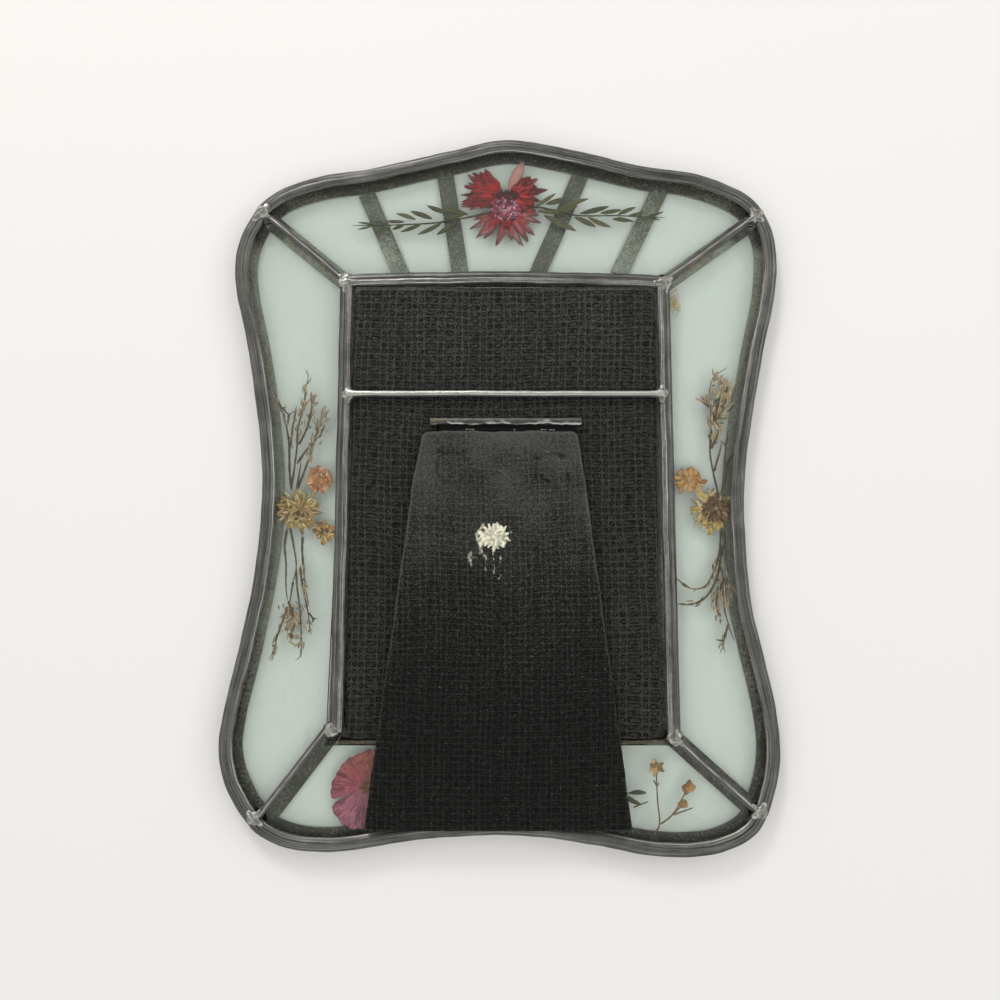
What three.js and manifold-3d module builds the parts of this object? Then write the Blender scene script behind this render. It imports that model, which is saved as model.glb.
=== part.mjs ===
// Pressed flower frame: a leaded-glass photo frame with dried flowers sealed in its border panels.
// Millimetres. The frame lies on its front face: +Z is its back, +Y its top edge, z = 0 the front face.
import * as THREE from 'three';
import { mergeVertices } from 'three/addons/utils/BufferGeometryUtils.js';
import Module from 'manifold-3d';

const wasm = await Module();
wasm.setup();

// ---- Driving dimensions ----

const gap = 0.3; // clearance between pieces that touch
const lip = 1.2; // thickness of a came's lips, front and back
const web = 1.2; // thickness of a came's web
const pane = 1.6; // glass
const specimen = 0.4; // a pressed flower
const bead = 4.4; // width of a came's rounded back lip
const rimLip = 6.4; // width of the outer came's front lip
const strip = 5.8; // width of the decorative strips and the diagonals' front lips
const diagonalBead = 2.5; // width of the diagonals' back lip
const rimSteps = 120; // facets round the outer edge

// The stack from the front face up: lip, pane, specimens, pane, lip.
const frontPane = lip + gap;
const specimenLayer = frontPane + pane + gap;
const backPane = specimenLayer + specimen + gap;
const backLip = backPane + pane + gap;
const thickness = backLip + lip;

const board = {
  left: -51.7, right: 50.1, top: 66.2, bottom: -83.9,
  z: frontPane + pane + gap, thick: 2.3, corner: 3,
};
const boardTop = board.z + board.thick;
const wire = { radius: 1.1, y: 29.3, left: -52.8, right: 52.2 };
const barrelRadius = 1.2;
const hinge = {
  y: 20.1, z: boardTop + gap + barrelRadius, radius: barrelRadius, halfLength: 25.2,
  leafThick: 0.6, leafDepth: 13, leafInset: 3,
};
const leg = {
  z: thickness + gap,
  thick: 2.2,
  outline: [[-27.5, 16.3], [-30.5, 0.5], [-44.8, -111.3], [39.7, -111.3], [25.2, 6.8], [23.5, 16.1]],
  corner: 1.5,
};

// Solder joints: outer corners, pocket corners and the wire's two ends.
const outerCorners = {
  top_left: [-83.6, 93.4],
  bottom_left: [-79.4, -108.2],
  bottom_right: [80.4, -106.2],
  top_right: [86.4, 92.2],
};
const pocketCorners = {
  top_left: [-54.4, 68.9],
  bottom_left: [-56.2, -80.8],
  bottom_right: [54.2, -83.2],
  top_right: [53.8, 68.6],
};
const outerSolder = 3.1;
const pocketSolder = 2.6;
const wireSolder = 2.0;
const solderProud = 0.3; // how far a joint stands above the cames
const wireJointProud = 0.9;

// The frame's outer edge, anticlockwise from the crown: a hand-bent, slightly lopsided shield.
const outerEdge = [
  [0.5, 120], [-7.5, 118.9], [-16.3, 116.5], [-32, 113], [-47.7, 109.2], [-65, 106.4], [-77, 102.3],
  [-82.4, 98.7], [-86.1, 94.7], [-91, 85], [-92.8, 75], [-91.7, 64.2], [-87.2, 44.2],
  [-82.5, 15.8], [-81, -6.3], [-82.4, -28.4], [-87.2, -56.8], [-91.4, -76.6], [-92.2, -88],
  [-88.8, -99.7], [-80, -112.1], [-70.3, -117], [-58, -118.5], [-46.1, -117.4], [-29.3, -114.9],
  [-0.4, -113.2], [13.8, -114.3], [29, -116.5], [46.3, -119.5], [58, -120], [69.6, -118.2],
  [80, -112.1], [85.8, -99.7], [88, -87], [86.9, -73.7], [83.1, -54.8], [80.3, -39.9],
  [78.9, -16.8], [79.2, -4], [81.6, 15.7], [87.4, 44.5], [91.9, 64.7], [93, 78],
  [92, 86.4], [87.7, 95.7], [81.8, 101.1], [65.2, 107.6], [47.9, 110.3], [31.9, 114.2], [16.1, 117.9],
  [8, 119.5],
];
const archRise = 1.3; // how far the pocket's top came bows up in the middle
const pocketBottom = { y: -84.8, halfLength: 58, lip: 4 }; // y is the middle of the bottom came's web
const centrePane = { left: -53.5, right: 52.8, top: 67.9, bottom: -83.8, corner: 0.5 };
const paneSetback = 0.1; // extra room between a pane's curved edge and the outer came's web

// ---- Materials ----

const material = (color, roughness, metalness) =>
  new THREE.MeshStandardMaterial({ color, roughness, metalness });
const finishes = {
  lead: material('#5c5b58', 0.45, 0.8),
  solder: material('#a9a7a0', 0.35, 0.9),
  strip: material('#7d807c', 0.55, 0.7),
  glass: Object.assign(material('#d5e6df', 0.05, 0), { transparent: true, opacity: 0.35 }),
  wire: material('#b5b3ad', 0.3, 0.9),
  board: material('#1b1b1b', 0.7, 0),
  hinge: material('#4b4845', 0.45, 0.8),
  crimson: material('#a01d28', 0.7, 0),
  leaf: material('#4f4a2b', 0.7, 0),
  twig: material('#6d543c', 0.8, 0),
  yellow: material('#a58445', 0.8, 0),
  peach: material('#c98d5c', 0.8, 0),
  pink: material('#b0608a', 0.7, 0),
};

// ---- Geometry helpers ----

const flat = ([x, y]) => new THREE.Vector3(x, y, 0);
const minus = (a, b) => [a[0] - b[0], a[1] - b[1]];
const unit = ([x, y]) => [x / Math.hypot(x, y), y / Math.hypot(x, y)];
const along = (p, d, s) => [p[0] + d[0] * s, p[1] + d[1] * s];
const leftOf = ([x, y]) => [-y, x];

// A geometry as a manifold solid, and back.
function toSolid(geometry) {
  const bare = geometry.clone().deleteAttribute('normal').deleteAttribute('uv');
  const merged = mergeVertices(bare, 1e-4);
  const triVerts = new Uint32Array(merged.index.array);
  return new wasm.Manifold(
    new wasm.Mesh({ numProp: 3, vertProperties: merged.attributes.position.array, triVerts }),
  );
}

function toGeometry(solid) {
  const { vertProperties, triVerts } = solid.getMesh();
  const geometry = new THREE.BufferGeometry();
  geometry.setAttribute('position', new THREE.BufferAttribute(new Float32Array(vertProperties), 3));
  geometry.setIndex(new THREE.BufferAttribute(new Uint32Array(triVerts), 1));
  return geometry;
}

// What is left of a solid after the cutters, without the slivers that fall off at its ends.
function cut(solid, cutters) {
  const rest = cutters.reduce((left, cutter) => left.subtract(cutter), solid);
  return rest.decompose().sort((a, b) => b.volume() - a.volume())[0];
}

// A flat plate with the given outline, from z up.
function plate(points, z, thick) {
  const shape = new THREE.Shape(points.map(([x, y]) => new THREE.Vector2(x, y)));
  return new THREE.ExtrudeGeometry(shape, { depth: thick, bevelEnabled: false }).translate(0, 0, z);
}

// An outline with each corner replaced by an arc's chord points of the given radius.
function rounded(points, radius) {
  const path = new THREE.Path();
  points.forEach((point, i) => {
    const before = points.at(i - 1);
    const after = points[(i + 1) % points.length];
    const start = along(point, unit(minus(before, point)), radius);
    const end = along(point, unit(minus(after, point)), radius);
    if (i === 0) path.moveTo(...start);
    else path.lineTo(...start);
    path.quadraticCurveTo(...point, ...end);
  });
  return path.getPoints(4).map(({ x, y }) => [x, y]);
}

// A profile of [across, up] points carried along a level path; across is positive to the left.
function sweep(path, profile) {
  const shape = new THREE.Shape(profile.map(([across, up]) => new THREE.Vector2(-up, across)));
  const extrudePath = path.length === 2
    ? new THREE.LineCurve3(flat(path[0]), flat(path[1]))
    : new THREE.CatmullRomCurve3(path.map(flat));
  return new THREE.ExtrudeGeometry(shape, { steps: path.length - 1, extrudePath });
}

// A swept block that clears everything within reach of a came's path, used to cut what butts on it.
const below = -1; // where such a block starts and ends, clear of the frame's two faces
const above = thickness + 2;
const clearance = (path, low, high) => {
  const [right, left] = [low - gap, high + gap];
  return toSolid(sweep(path, [[right, below], [left, below], [left, above], [right, above]]));
};

// A solder joint: a round post with a chamfered foot and a domed top.
const joint = { foot: 0.88, footHeight: 0.5, shoulder: 1, crown: 0.78, crownDrop: 0.3 };
function solderPost([x, y], radius, low, high, grow = 0) {
  const r = radius + grow;
  const profile = [
    [0, low - grow], [r * joint.foot, low - grow], [r, low + joint.footHeight], [r, high - joint.shoulder],
    [r * joint.crown, high - joint.crownDrop + grow], [0, high + grow],
  ].map(([across, up]) => new THREE.Vector2(across, up));
  return new THREE.LatheGeometry(profile, 12).rotateX(Math.PI / 2).translate(x, y, 0);
}

const group = new THREE.Group();

function addPiece(name, geometry, finish) {
  const mesh = new THREE.Mesh(geometry, finishes[finish]);
  mesh.name = name;
  group.add(mesh);
}

// ---- Outer edge and came profiles ----

const outline = new THREE.CatmullRomCurve3(outerEdge.map(flat), true, 'centripetal');
const rim = outline.getSpacedPoints(rimSteps).slice(0, rimSteps).map(({ x, y }) => [x, y]);
const rimIndex = (point) => {
  const distances = rim.map((p) => Math.hypot(...minus(p, point)));
  return distances.indexOf(Math.min(...distances));
};

// The rim from one corner to the next, anticlockwise.
function rimBetween(from, to) {
  const first = rimIndex(outerCorners[from]);
  const count = (rimIndex(outerCorners[to]) - first + rimSteps) % rimSteps;
  return Array.from({ length: count + 1 }, (_, i) => rim[(first + i) % rimSteps]);
}

// The rim moved inwards.
const rimInset = (distance) => rim.map((point, i) => {
  const ahead = rim[(i + 1) % rimSteps];
  const behind = rim.at(i - 1);
  return along(point, leftOf(unit(minus(ahead, behind))), distance);
});

// The outer came: a channel open inwards, with a rounded back lip and a wider flat front lip.
const rimProfile = [
  [0.6, 0], [rimLip - 0.4, 0], [rimLip, 0.4], [rimLip, lip], [web, lip], [web, backLip],
  [bead, backLip], [bead, backLip + 0.4], [bead - 1, thickness - 0.15], [bead / 2, thickness],
  [1, thickness - 0.15], [0.2, backLip + 0.4], [0, backLip - 0.4], [0, 0.6],
];

// A came with channels on both sides. The front lip runs from low to high across the web's middle.
function doubleProfile(backWidth, low, high) {
  const half = backWidth / 2;
  const core = web / 2;
  return [
    [low, 0], [high, 0], [high, lip], [core, lip], [core, backLip], [half, backLip],
    [half, backLip + 0.5], [half * 0.5, thickness], [-half * 0.5, thickness], [-half, backLip + 0.5],
    [-half, backLip], [-core, backLip], [-core, lip], [low, lip],
  ];
}

// ---- Solder joints ----

const roomFor = (corners, radius) => Object.values(corners)
  .map((point) => toSolid(solderPost(point, radius, 0, thickness, gap)));
const outerPosts = roomFor(outerCorners, outerSolder);
const posts = [...outerPosts, ...roomFor(pocketCorners, pocketSolder)];
const wireJoints = { left: [-53.2, wire.y], right: [52.4, wire.y] };
const wirePosts = Object.values(wireJoints)
  .map((point) => toSolid(solderPost(point, wireSolder, backLip, thickness + wireJointProud, gap)));

for (const [corner, point] of Object.entries(outerCorners))
  addPiece(`solder_outer_${corner}`, solderPost(point, outerSolder, 0, thickness + solderProud), 'solder');
for (const [corner, point] of Object.entries(pocketCorners))
  addPiece(`solder_pocket_${corner}`, solderPost(point, pocketSolder, 0, thickness + solderProud), 'solder');
for (const [side, point] of Object.entries(wireJoints)) {
  const blob = solderPost(point, wireSolder, backLip, thickness + wireJointProud);
  addPiece(`solder_wire_${side}`, blob, 'solder');
}

// ---- Outer came, four lengths ----

const rimLengths = {
  left: rimBetween('top_left', 'bottom_left'),
  bottom: rimBetween('bottom_left', 'bottom_right'),
  right: rimBetween('bottom_right', 'top_right'),
  top: rimBetween('top_right', 'top_left'),
};
const outsideRim = 2; // how far a cutter reaches past the outer edge
const mitreReach = { out: 6, in: 12 };
const mitres = Object.entries(outerCorners).map(([corner, point]) => {
  const inwards = unit(minus(pocketCorners[corner], point));
  return clearance([along(point, inwards, -mitreReach.out), along(point, inwards, mitreReach.in)], 0, 0);
});
for (const [side, path] of Object.entries(rimLengths)) {
  const length = cut(toSolid(sweep(path, rimProfile)), [...outerPosts, ...mitres]);
  addPiece(`outer_came_${side}`, toGeometry(length), 'lead');
}
const rimClearance = Object.values(rimLengths).map((path) => clearance(path, -outsideRim, rimLip));

// ---- Pocket cames ----

const { top_left: pocketTL, top_right: pocketTR } = pocketCorners;
const { bottom_left: pocketBL, bottom_right: pocketBR } = pocketCorners;
const leftPath = [pocketTL, [-54.5, pocketBL[1]]];
const rightPath = [[53.8, pocketBR[1]], pocketTR];
const arch = new THREE.QuadraticBezierCurve(
  new THREE.Vector2(...pocketTR),
  new THREE.Vector2((pocketTR[0] + pocketTL[0]) / 2, pocketTL[1] + 2 * archRise),
  new THREE.Vector2(...pocketTL),
);
const topPath = arch.getPoints(12).map(({ x, y }) => [x, y]);
const bottomPath = [-1, 1].map((end) => [end * pocketBottom.halfLength, pocketBottom.y]);
const pocketCames = {
  left: { path: leftPath, low: -bead / 2, high: 3.2 },
  right: { path: rightPath, low: -3.2, high: 3.9 },
  top: { path: topPath, low: -2.5, high: 2.5 },
};
const sideClearance = ['left', 'right'].map((side) => {
  const { path, low, high } = pocketCames[side];
  return clearance(path, low, high);
});
for (const [side, { path, low, high }] of Object.entries(pocketCames)) {
  const whole = toSolid(sweep(path, doubleProfile(bead, low, high)));
  const neighbours = side === 'top' ? [...posts, ...sideClearance] : [...posts, ...wirePosts];
  addPiece(`pocket_came_${side}`, toGeometry(cut(whole, neighbours)), 'lead');
}
const topClearance = clearance(topPath, pocketCames.top.low, pocketCames.top.high);

// The bottom came is an L: a front lip under the board and a web that the board stands on.
const bottomProfile = [
  [-web / 2, 0], [pocketBottom.lip, 0], [pocketBottom.lip, lip], [web / 2, lip],
  [web / 2, boardTop], [-web / 2, boardTop],
];

// ---- Diagonal cames ----

// shift: how far the front lip's middle lies to the left of the back lip's, looking towards the pocket
const diagonals = {
  top_left: { path: [outerCorners.top_left, pocketTL], shift: 0 },
  bottom_left: { path: [[-78.9, -107.9], [-57.8, -80.2]], shift: -2.1 },
  bottom_right: { path: [[79.6, -105.8], pocketBR], shift: 0.4 },
  top_right: { path: [outerCorners.top_right, pocketTR], shift: 0.2 },
};
const diagonalCutters = [...posts, ...rimClearance, ...sideClearance, topClearance];
for (const [corner, { path, shift }] of Object.entries(diagonals)) {
  const low = shift - strip / 2;
  const whole = toSolid(sweep(path, doubleProfile(diagonalBead, low, low + strip)));
  addPiece(`diagonal_came_${corner}`, toGeometry(cut(whole, diagonalCutters)), 'lead');
}
const widestLip = strip / 2 + Math.abs(diagonals.bottom_left.shift);
const diagonalClearance = Object.values(diagonals)
  .map(({ path }) => clearance(path, -widestLip, widestLip));
const bottomCame = cut(
  toSolid(sweep(bottomPath, bottomProfile)),
  [...posts, ...sideClearance, ...diagonalClearance],
);
addPiece('pocket_came_bottom', toGeometry(bottomCame), 'lead');

// ---- Glass ----

// The area of one border panel: a wedge between two diagonals, its sides set back from their webs.
const wedgeReach = [-1, 100]; // from just inside the pocket corner to well past the outer edge
function wedge(first, second) {
  const clear = web / 2 + gap;
  const side = ([outer, end], sign) => {
    const direction = unit(minus(outer, end));
    const start = along(end, leftOf(direction), sign * clear);
    return wedgeReach.map((reach) => along(start, direction, reach));
  };
  const [firstNear, firstFar] = side(diagonals[first].path, 1);
  const [secondNear, secondFar] = side(diagonals[second].path, -1);
  return [firstNear, secondNear, secondFar, firstFar];
}

const panels = {
  left: { area: wedge('top_left', 'bottom_left'), edge: leftPath },
  bottom: { area: wedge('bottom_left', 'bottom_right'), edge: bottomPath },
  right: { area: wedge('bottom_right', 'top_right'), edge: rightPath },
  top: { area: wedge('top_right', 'top_left'), edge: topPath },
};
const beyondEdge = 15; // takes in all of a wedge that runs past the pocket came's web
const glassRegion = (z) => toSolid(plate(rimInset(web + gap + paneSetback), z, pane));
for (const [side, { area, edge }] of Object.entries(panels))
  for (const [layer, z] of [['front', frontPane], ['back', backPane]]) {
    const panel = glassRegion(z).intersect(toSolid(plate(area, z - 1, pane + 2)));
    const glass = cut(panel, [...posts, clearance(edge, -web / 2, beyondEdge)]);
    addPiece(`${layer}_pane_${side}`, toGeometry(glass), 'glass');
  }

const rectangle = ({ left, right, top, bottom }) =>
  [[left, top], [left, bottom], [right, bottom], [right, top]];
const centre = rounded(rectangle(centrePane), centrePane.corner);
addPiece('centre_pane', toGeometry(cut(toSolid(plate(centre, frontPane, pane)), posts)), 'glass');

// ---- Decorative strips on the front of the top panel ----

const strips = [
  [[-50.2, 105.5], [-36.2, 72.5]],
  [[-22, 114.6], [-15.6, 72.5]],
  [[27.8, 112.2], [11, 72.5]],
  [[56.2, 107.5], [39.2, 72.5]],
];
strips.forEach((path, i) => {
  const flatStrip = [[-strip / 2, gap], [strip / 2, gap], [strip / 2, lip], [-strip / 2, lip]];
  const whole = toSolid(sweep(path, flatStrip));
  addPiece(`lead_strip_${i + 1}`, toGeometry(cut(whole, [rimClearance[3], topClearance])), 'strip');
});

// ---- Wire, board, hinge and leg ----

const wireRod = new THREE.CylinderGeometry(wire.radius, wire.radius, wire.right - wire.left, 12)
  .rotateZ(Math.PI / 2)
  .translate((wire.left + wire.right) / 2, wire.y, boardTop + gap + wire.radius);
addPiece('retaining_wire', toGeometry(cut(toSolid(wireRod), wirePosts)), 'wire');

addPiece('back_board', plate(rounded(rectangle(board), board.corner), board.z, board.thick), 'board');

const barrel = new THREE.CylinderGeometry(hinge.radius, hinge.radius, 2 * hinge.halfLength, 16)
  .rotateZ(Math.PI / 2)
  .translate(0, hinge.y, hinge.z);
addPiece('hinge_barrel', barrel, 'hinge');

const leafEdge = hinge.y - hinge.radius - gap;
const leafHalf = hinge.halfLength - hinge.leafInset;
const leaf = [
  [-leafHalf, leafEdge], [-leafHalf, leafEdge - hinge.leafDepth],
  [leafHalf, leafEdge - hinge.leafDepth], [leafHalf, leafEdge],
];
addPiece('hinge_leaf', plate(leaf, leg.z - gap - hinge.leafThick, hinge.leafThick), 'hinge');
addPiece('easel_leg', plate(rounded(leg.outline, leg.corner), leg.z, leg.thick), 'board');

// ---- Specimens between the panes ----

const specimenPlate = (points) => plate(points, specimenLayer, specimen);

// A flower head: a star of pointed petals round a centre.
function star([x, y], outer, inner, petals, turn = 0) {
  return Array.from({ length: 2 * petals }, (_, i) => {
    const angle = turn + (Math.PI * i) / petals;
    const reach = i % 2 ? inner : outer;
    return [x + reach * Math.cos(angle), y + reach * Math.sin(angle)];
  });
}

// A leafy sprig: pairs of slanting leaves that shrink towards the tip.
function sprig(base, tip, pairs, reach) {
  const direction = unit(minus(tip, base));
  const length = Math.hypot(...minus(tip, base));
  const edge = (side) => Array.from({ length: pairs }, (_, i) => {
    const stem = (length * i) / pairs;
    const leafReach = reach * (1 - (0.6 * i) / pairs);
    const root = along(along(base, direction, stem), leftOf(direction), side * 0.7);
    const leafTip = along(along(base, direction, stem + length / pairs), leftOf(direction), side * leafReach);
    return [root, leafTip];
  }).flat();
  return [...edge(-1), tip, ...edge(1).reverse()];
}

// A spray: stems that fan out from one place to each tip.
function spray(base, halfWidth, tips) {
  const valleys = tips.slice(1).map((tip, i) => {
    const middle = [(tip[0] + tips[i][0]) / 2, (tip[1] + tips[i][1]) / 2];
    return along(base, minus(middle, base), 0.45);
  });
  const spread = leftOf(unit(minus(tips[Math.floor(tips.length / 2)], base)));
  const fan = tips.flatMap((tip, i) => (i < valleys.length ? [tip, valleys[i]] : [tip]));
  return [along(base, spread, -halfWidth), ...fan, along(base, spread, halfWidth)];
}

const specimens = {
  cornflower: { outline: star([-1.2, 98], 14.4, 8.5, 16), finish: 'crimson' },
  leaf_sprig_left: { outline: sprig([-16.4, 94.6], [-53.6, 89.9], 7, 4.6), finish: 'leaf' },
  leaf_sprig_right: { outline: sprig([14, 95.2], [55.2, 94.7], 7, 5), finish: 'leaf' },
  spray_left_upper: {
    outline: spray([-71.6, -2.6], 1, [[-58.5, 23.4], [-63.8, 30.8], [-68.2, 38.4], [-79, 30.8]]),
    finish: 'twig',
  },
  spray_left_lower: {
    outline: spray([-71, -19.6], 1.6, [[-76, -57.8], [-69, -59.2], [-63.6, -51], [-61.4, -45.6]]),
    finish: 'twig',
  },
  yellow_flower_left: { outline: star([-69.2, -11], 7, 5, 9), finish: 'yellow' },
  blossom_left: { outline: star([-62.8, 0.8], 4.4, 3.2, 5), finish: 'peach' },
  small_flower_left: { outline: star([-59.9, -18.4], 3.6, 2.4, 8), finish: 'yellow' },
  spray_right_upper: {
    outline: spray([71.6, -2.4], 1, [[76.2, 11.2], [76, 26.6], [75.6, 39.2], [66.3, 27.8]]),
    finish: 'twig',
  },
  spray_right_lower: {
    outline: spray([71.4, -16.8], 1, [[56.4, -32], [56.5, -40.4], [69.2, -52.2], [75.6, -52.6]]),
    finish: 'twig',
  },
  daisy_right: { outline: star([69.4, -9.8], 6.8, 4.6, 12), finish: 'yellow' },
  petal_right: { outline: star([61.8, 1.2], 4.2, 3.2, 5, 0.6), finish: 'peach' },
  pink_flower: { outline: star([-43.9, -99.7], 12.2, 11, 9), finish: 'pink' },
  leaf_sprig_small: { outline: sprig([-20, -103], [45.2, -100.8], 9, 4), finish: 'leaf' },
  gypsophila_sprig: {
    outline: spray([47, -114.4], 0.7, [[60.6, -103.6], [59.6, -97.6], [48.4, -92.4]]),
    finish: 'yellow',
  },
};
for (const [name, { outline: points, finish }] of Object.entries(specimens))
  addPiece(name, specimenPlate(points), finish);

export default group;
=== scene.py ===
from math import cos, hypot, pi, radians, tau

import bmesh
import bpy
import numpy as np
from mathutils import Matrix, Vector


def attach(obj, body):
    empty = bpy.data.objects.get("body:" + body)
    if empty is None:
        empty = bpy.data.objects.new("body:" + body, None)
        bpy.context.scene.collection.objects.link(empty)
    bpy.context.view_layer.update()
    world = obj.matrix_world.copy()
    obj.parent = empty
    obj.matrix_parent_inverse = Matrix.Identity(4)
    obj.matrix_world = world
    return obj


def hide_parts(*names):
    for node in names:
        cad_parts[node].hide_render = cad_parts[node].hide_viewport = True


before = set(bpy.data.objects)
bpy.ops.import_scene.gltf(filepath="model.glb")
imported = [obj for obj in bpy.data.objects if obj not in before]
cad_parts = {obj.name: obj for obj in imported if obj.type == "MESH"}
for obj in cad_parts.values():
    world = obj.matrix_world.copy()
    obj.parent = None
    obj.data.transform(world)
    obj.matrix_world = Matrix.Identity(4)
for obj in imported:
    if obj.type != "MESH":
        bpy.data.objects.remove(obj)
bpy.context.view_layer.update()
print("frame loaded:", len(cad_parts), "nodes")
mm = 0.001  # lengths below are in millimetres and meshes are written in metres
scene = bpy.context.scene

# camera: almost straight down on the back of the frame, which lies face down
view = {"at": (-1.95, -32.5, 254), "tilt": 6, "lens": 27.04, "sensor": 36, "near": 0.01}
camera = bpy.data.objects.new("camera", bpy.data.cameras.new("camera"))
camera.data.lens, camera.data.sensor_width = view["lens"], view["sensor"]
camera.data.clip_start = view["near"]
camera.location = [mm * value for value in view["at"]]
camera.rotation_euler = (radians(view["tilt"]), 0, 0)
scene.collection.objects.link(camera)
scene.camera = camera


class Socket:
    # a shader socket that takes part in arithmetic: each operator adds its Math node
    def __init__(self, finish, output):
        self.finish, self.output = finish, output

    def math(self, operation, other=None, swap=False):
        pair = (self,) if other is None else (other, self) if swap else (self, other)
        return self.finish.node("Math", {"operation": operation}, dict(enumerate(pair)))

    def __add__(self, other):
        return self.math("ADD", other)

    def __sub__(self, other):
        return self.math("SUBTRACT", other)

    def __rsub__(self, other):
        return self.math("SUBTRACT", other, True)

    def __mul__(self, other):
        return self.math("MULTIPLY", other)

    def __pow__(self, other):
        return self.math("POWER", other)

    __radd__, __rmul__ = __add__, __mul__


class Finish:
    # one node tree; node() adds any node: its settings first, then its sockets' values or links
    def __init__(self, name, holder=None):
        self.holder = holder or bpy.data.materials.new(name)
        self.holder.use_nodes = True
        self.tree = self.holder.node_tree
        self.tree.nodes.clear()

    def node(self, kind, settings=None, sockets=None, output=0):
        made = self.tree.nodes.new("ShaderNode" + kind)
        for key, value in (settings or {}).items():
            if key == "stops":
                made.color_ramp.elements.remove(made.color_ramp.elements[1])
                for i, (place, color) in enumerate(value):
                    stop = made.color_ramp.elements[0] if i == 0 else made.color_ramp.elements.new(place)
                    stop.position, stop.color = place, (*color, 1)
            else:
                setattr(made, key, value)
        for key, value in (sockets or {}).items():
            if isinstance(value, Socket):
                self.tree.links.new(value.output, made.inputs[key])
            elif isinstance(value, tuple) and made.inputs[key].type == "RGBA":
                made.inputs[key].default_value = (*value, 1)
            else:
                made.inputs[key].default_value = value
        return Socket(self, made.outputs[output])

    def place(self, stretch=(1, 1, 1)):
        spot = self.node("TexCoord", output="Object")
        return self.node("Mapping", {}, {"Vector": spot, "Scale": stretch})

    def surface(self, stretch=(1, 1, 1)):
        spot = self.node("UVMap", {"uv_map": "along"})
        return self.node("Mapping", {}, {"Vector": spot, "Scale": stretch})

    def noise(self, vector, scale, detail, roughness=0.55):
        sockets = {"Vector": vector, "Scale": scale, "Detail": detail, "Roughness": roughness}
        return self.node("TexNoise", {}, sockets)

    def attribute(self, name, output="Fac"):
        return self.node("Attribute", {"attribute_name": name}, output=output)

    def step(self, value, low, high, bottom=0.0, top=1.0):
        return self.node("MapRange", {"interpolation_type": "SMOOTHSTEP"}, {
            "Value": value, "From Min": low, "From Max": high, "To Min": bottom, "To Max": top})

    def mix(self, factor, a, b, blend="MIX"):
        return self.node("Mix", {"data_type": "RGBA", "blend_type": blend}, {0: factor, 6: a, 7: b}, 2)

    def ramp(self, value, *stops):
        return self.node("ValToRGB", {"stops": stops}, {"Fac": value})

    def bump(self, height, distance, strength):
        return self.node("Bump", {}, {"Height": height, "Distance": distance, "Strength": strength})

    def principled(self, **sockets):
        sockets = {key.replace("_", " "): value for key, value in sockets.items()}
        return self.node("BsdfPrincipled", {}, sockets)

    def done(self, shader, kind="OutputMaterial"):
        end = self.tree.nodes.new("ShaderNode" + kind)
        self.tree.links.new(shader.output, end.inputs["Surface"])
        return self.holder


# lead came: dark pewter with marks drawn out along its length; one mask says where old tin and painted
# highlights brighten it, another where it is a dull patina under painted shade in its channels, and
# "residue" where it is rusty
def leadFinish(name, look):
    f = Finish(name)
    lines = f.noise(f.surface(look["drawn"]), 5, 5, 0.65)
    grain = f.noise(f.place(), 1400, 4, 0.6)
    cloud = f.noise(f.place(), 130, 3, 0.5)
    speckle = f.noise(f.place(), 900, 3, 0.65) - 0.5
    tinned = f.step(f.attribute("tinned") + (lines - 0.5) * 0.8 + speckle * 0.5, 0.2, 0.95)
    body = f.ramp(lines * 0.65 + grain * 0.15 + cloud * 0.2, (0.4, look["dark"]), (0.62, look["light"]))
    color = f.mix(tinned * look["tin"], body, look["bright"])
    # inside the channels a dull patina, darkened as painted shade
    shaded = f.attribute("worn")
    patinaAndShade = grain * 0.75 + cloud * 0.25 + (1 - shaded) * 0.55
    dull = f.ramp(patinaAndShade, (0.5, look["dull"][0]), (0.9, look["dull"][1]))
    stain = f.step(f.attribute("residue") + (grain - 0.5) * 1.2, 0.4, 0.8)
    covered = f.step(shaded, 0.0, 0.3)
    height = lines * 0.7 + grain * 0.2 + tinned * f.noise(f.place(), 1700, 2) * 0.4
    return f.done(f.principled(
        Base_Color=f.mix(stain * 0.7, f.mix(covered, color, dull), leadRust),
        Metallic=look["metal"] * (1 - covered * 0.8) * (1 - stain),
        Roughness=0.42 - tinned * 0.1 + (grain - 0.5) * 0.25 + shaded * 0.2,
        Normal=f.bump(height, 0.00012, 0.7)))


# solder: lumpy and grimy, with painted shade where it lies deep between the lips
def solderFinish(name, look):
    f = Finish(name)
    lump = f.noise(f.place(), 520, 3, 0.55)
    grain = f.noise(f.place(), 1900, 3, 0.6)
    grime = f.step(f.noise(f.place(), 700, 4, 0.6), 0.5, 0.68)
    raised = f.step(f.node("SeparateXYZ", {}, {"Vector": f.place()}, 2), *look["raised"])
    color = f.mix(grime * 0.65, f.ramp(lump, (0.3, look["shade"]), (0.7, look["light"])), look["grime"])
    return f.done(f.principled(
        Base_Color=f.mix(raised, look["shadeUnderLips"], color),
        Metallic=raised * 0.92,
        Roughness=0.33 + grime * 0.25 + (grain - 0.5) * 0.15,
        Normal=f.bump(lump * 0.8 + grain * 0.2, 0.0002, 0.5)))


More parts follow.
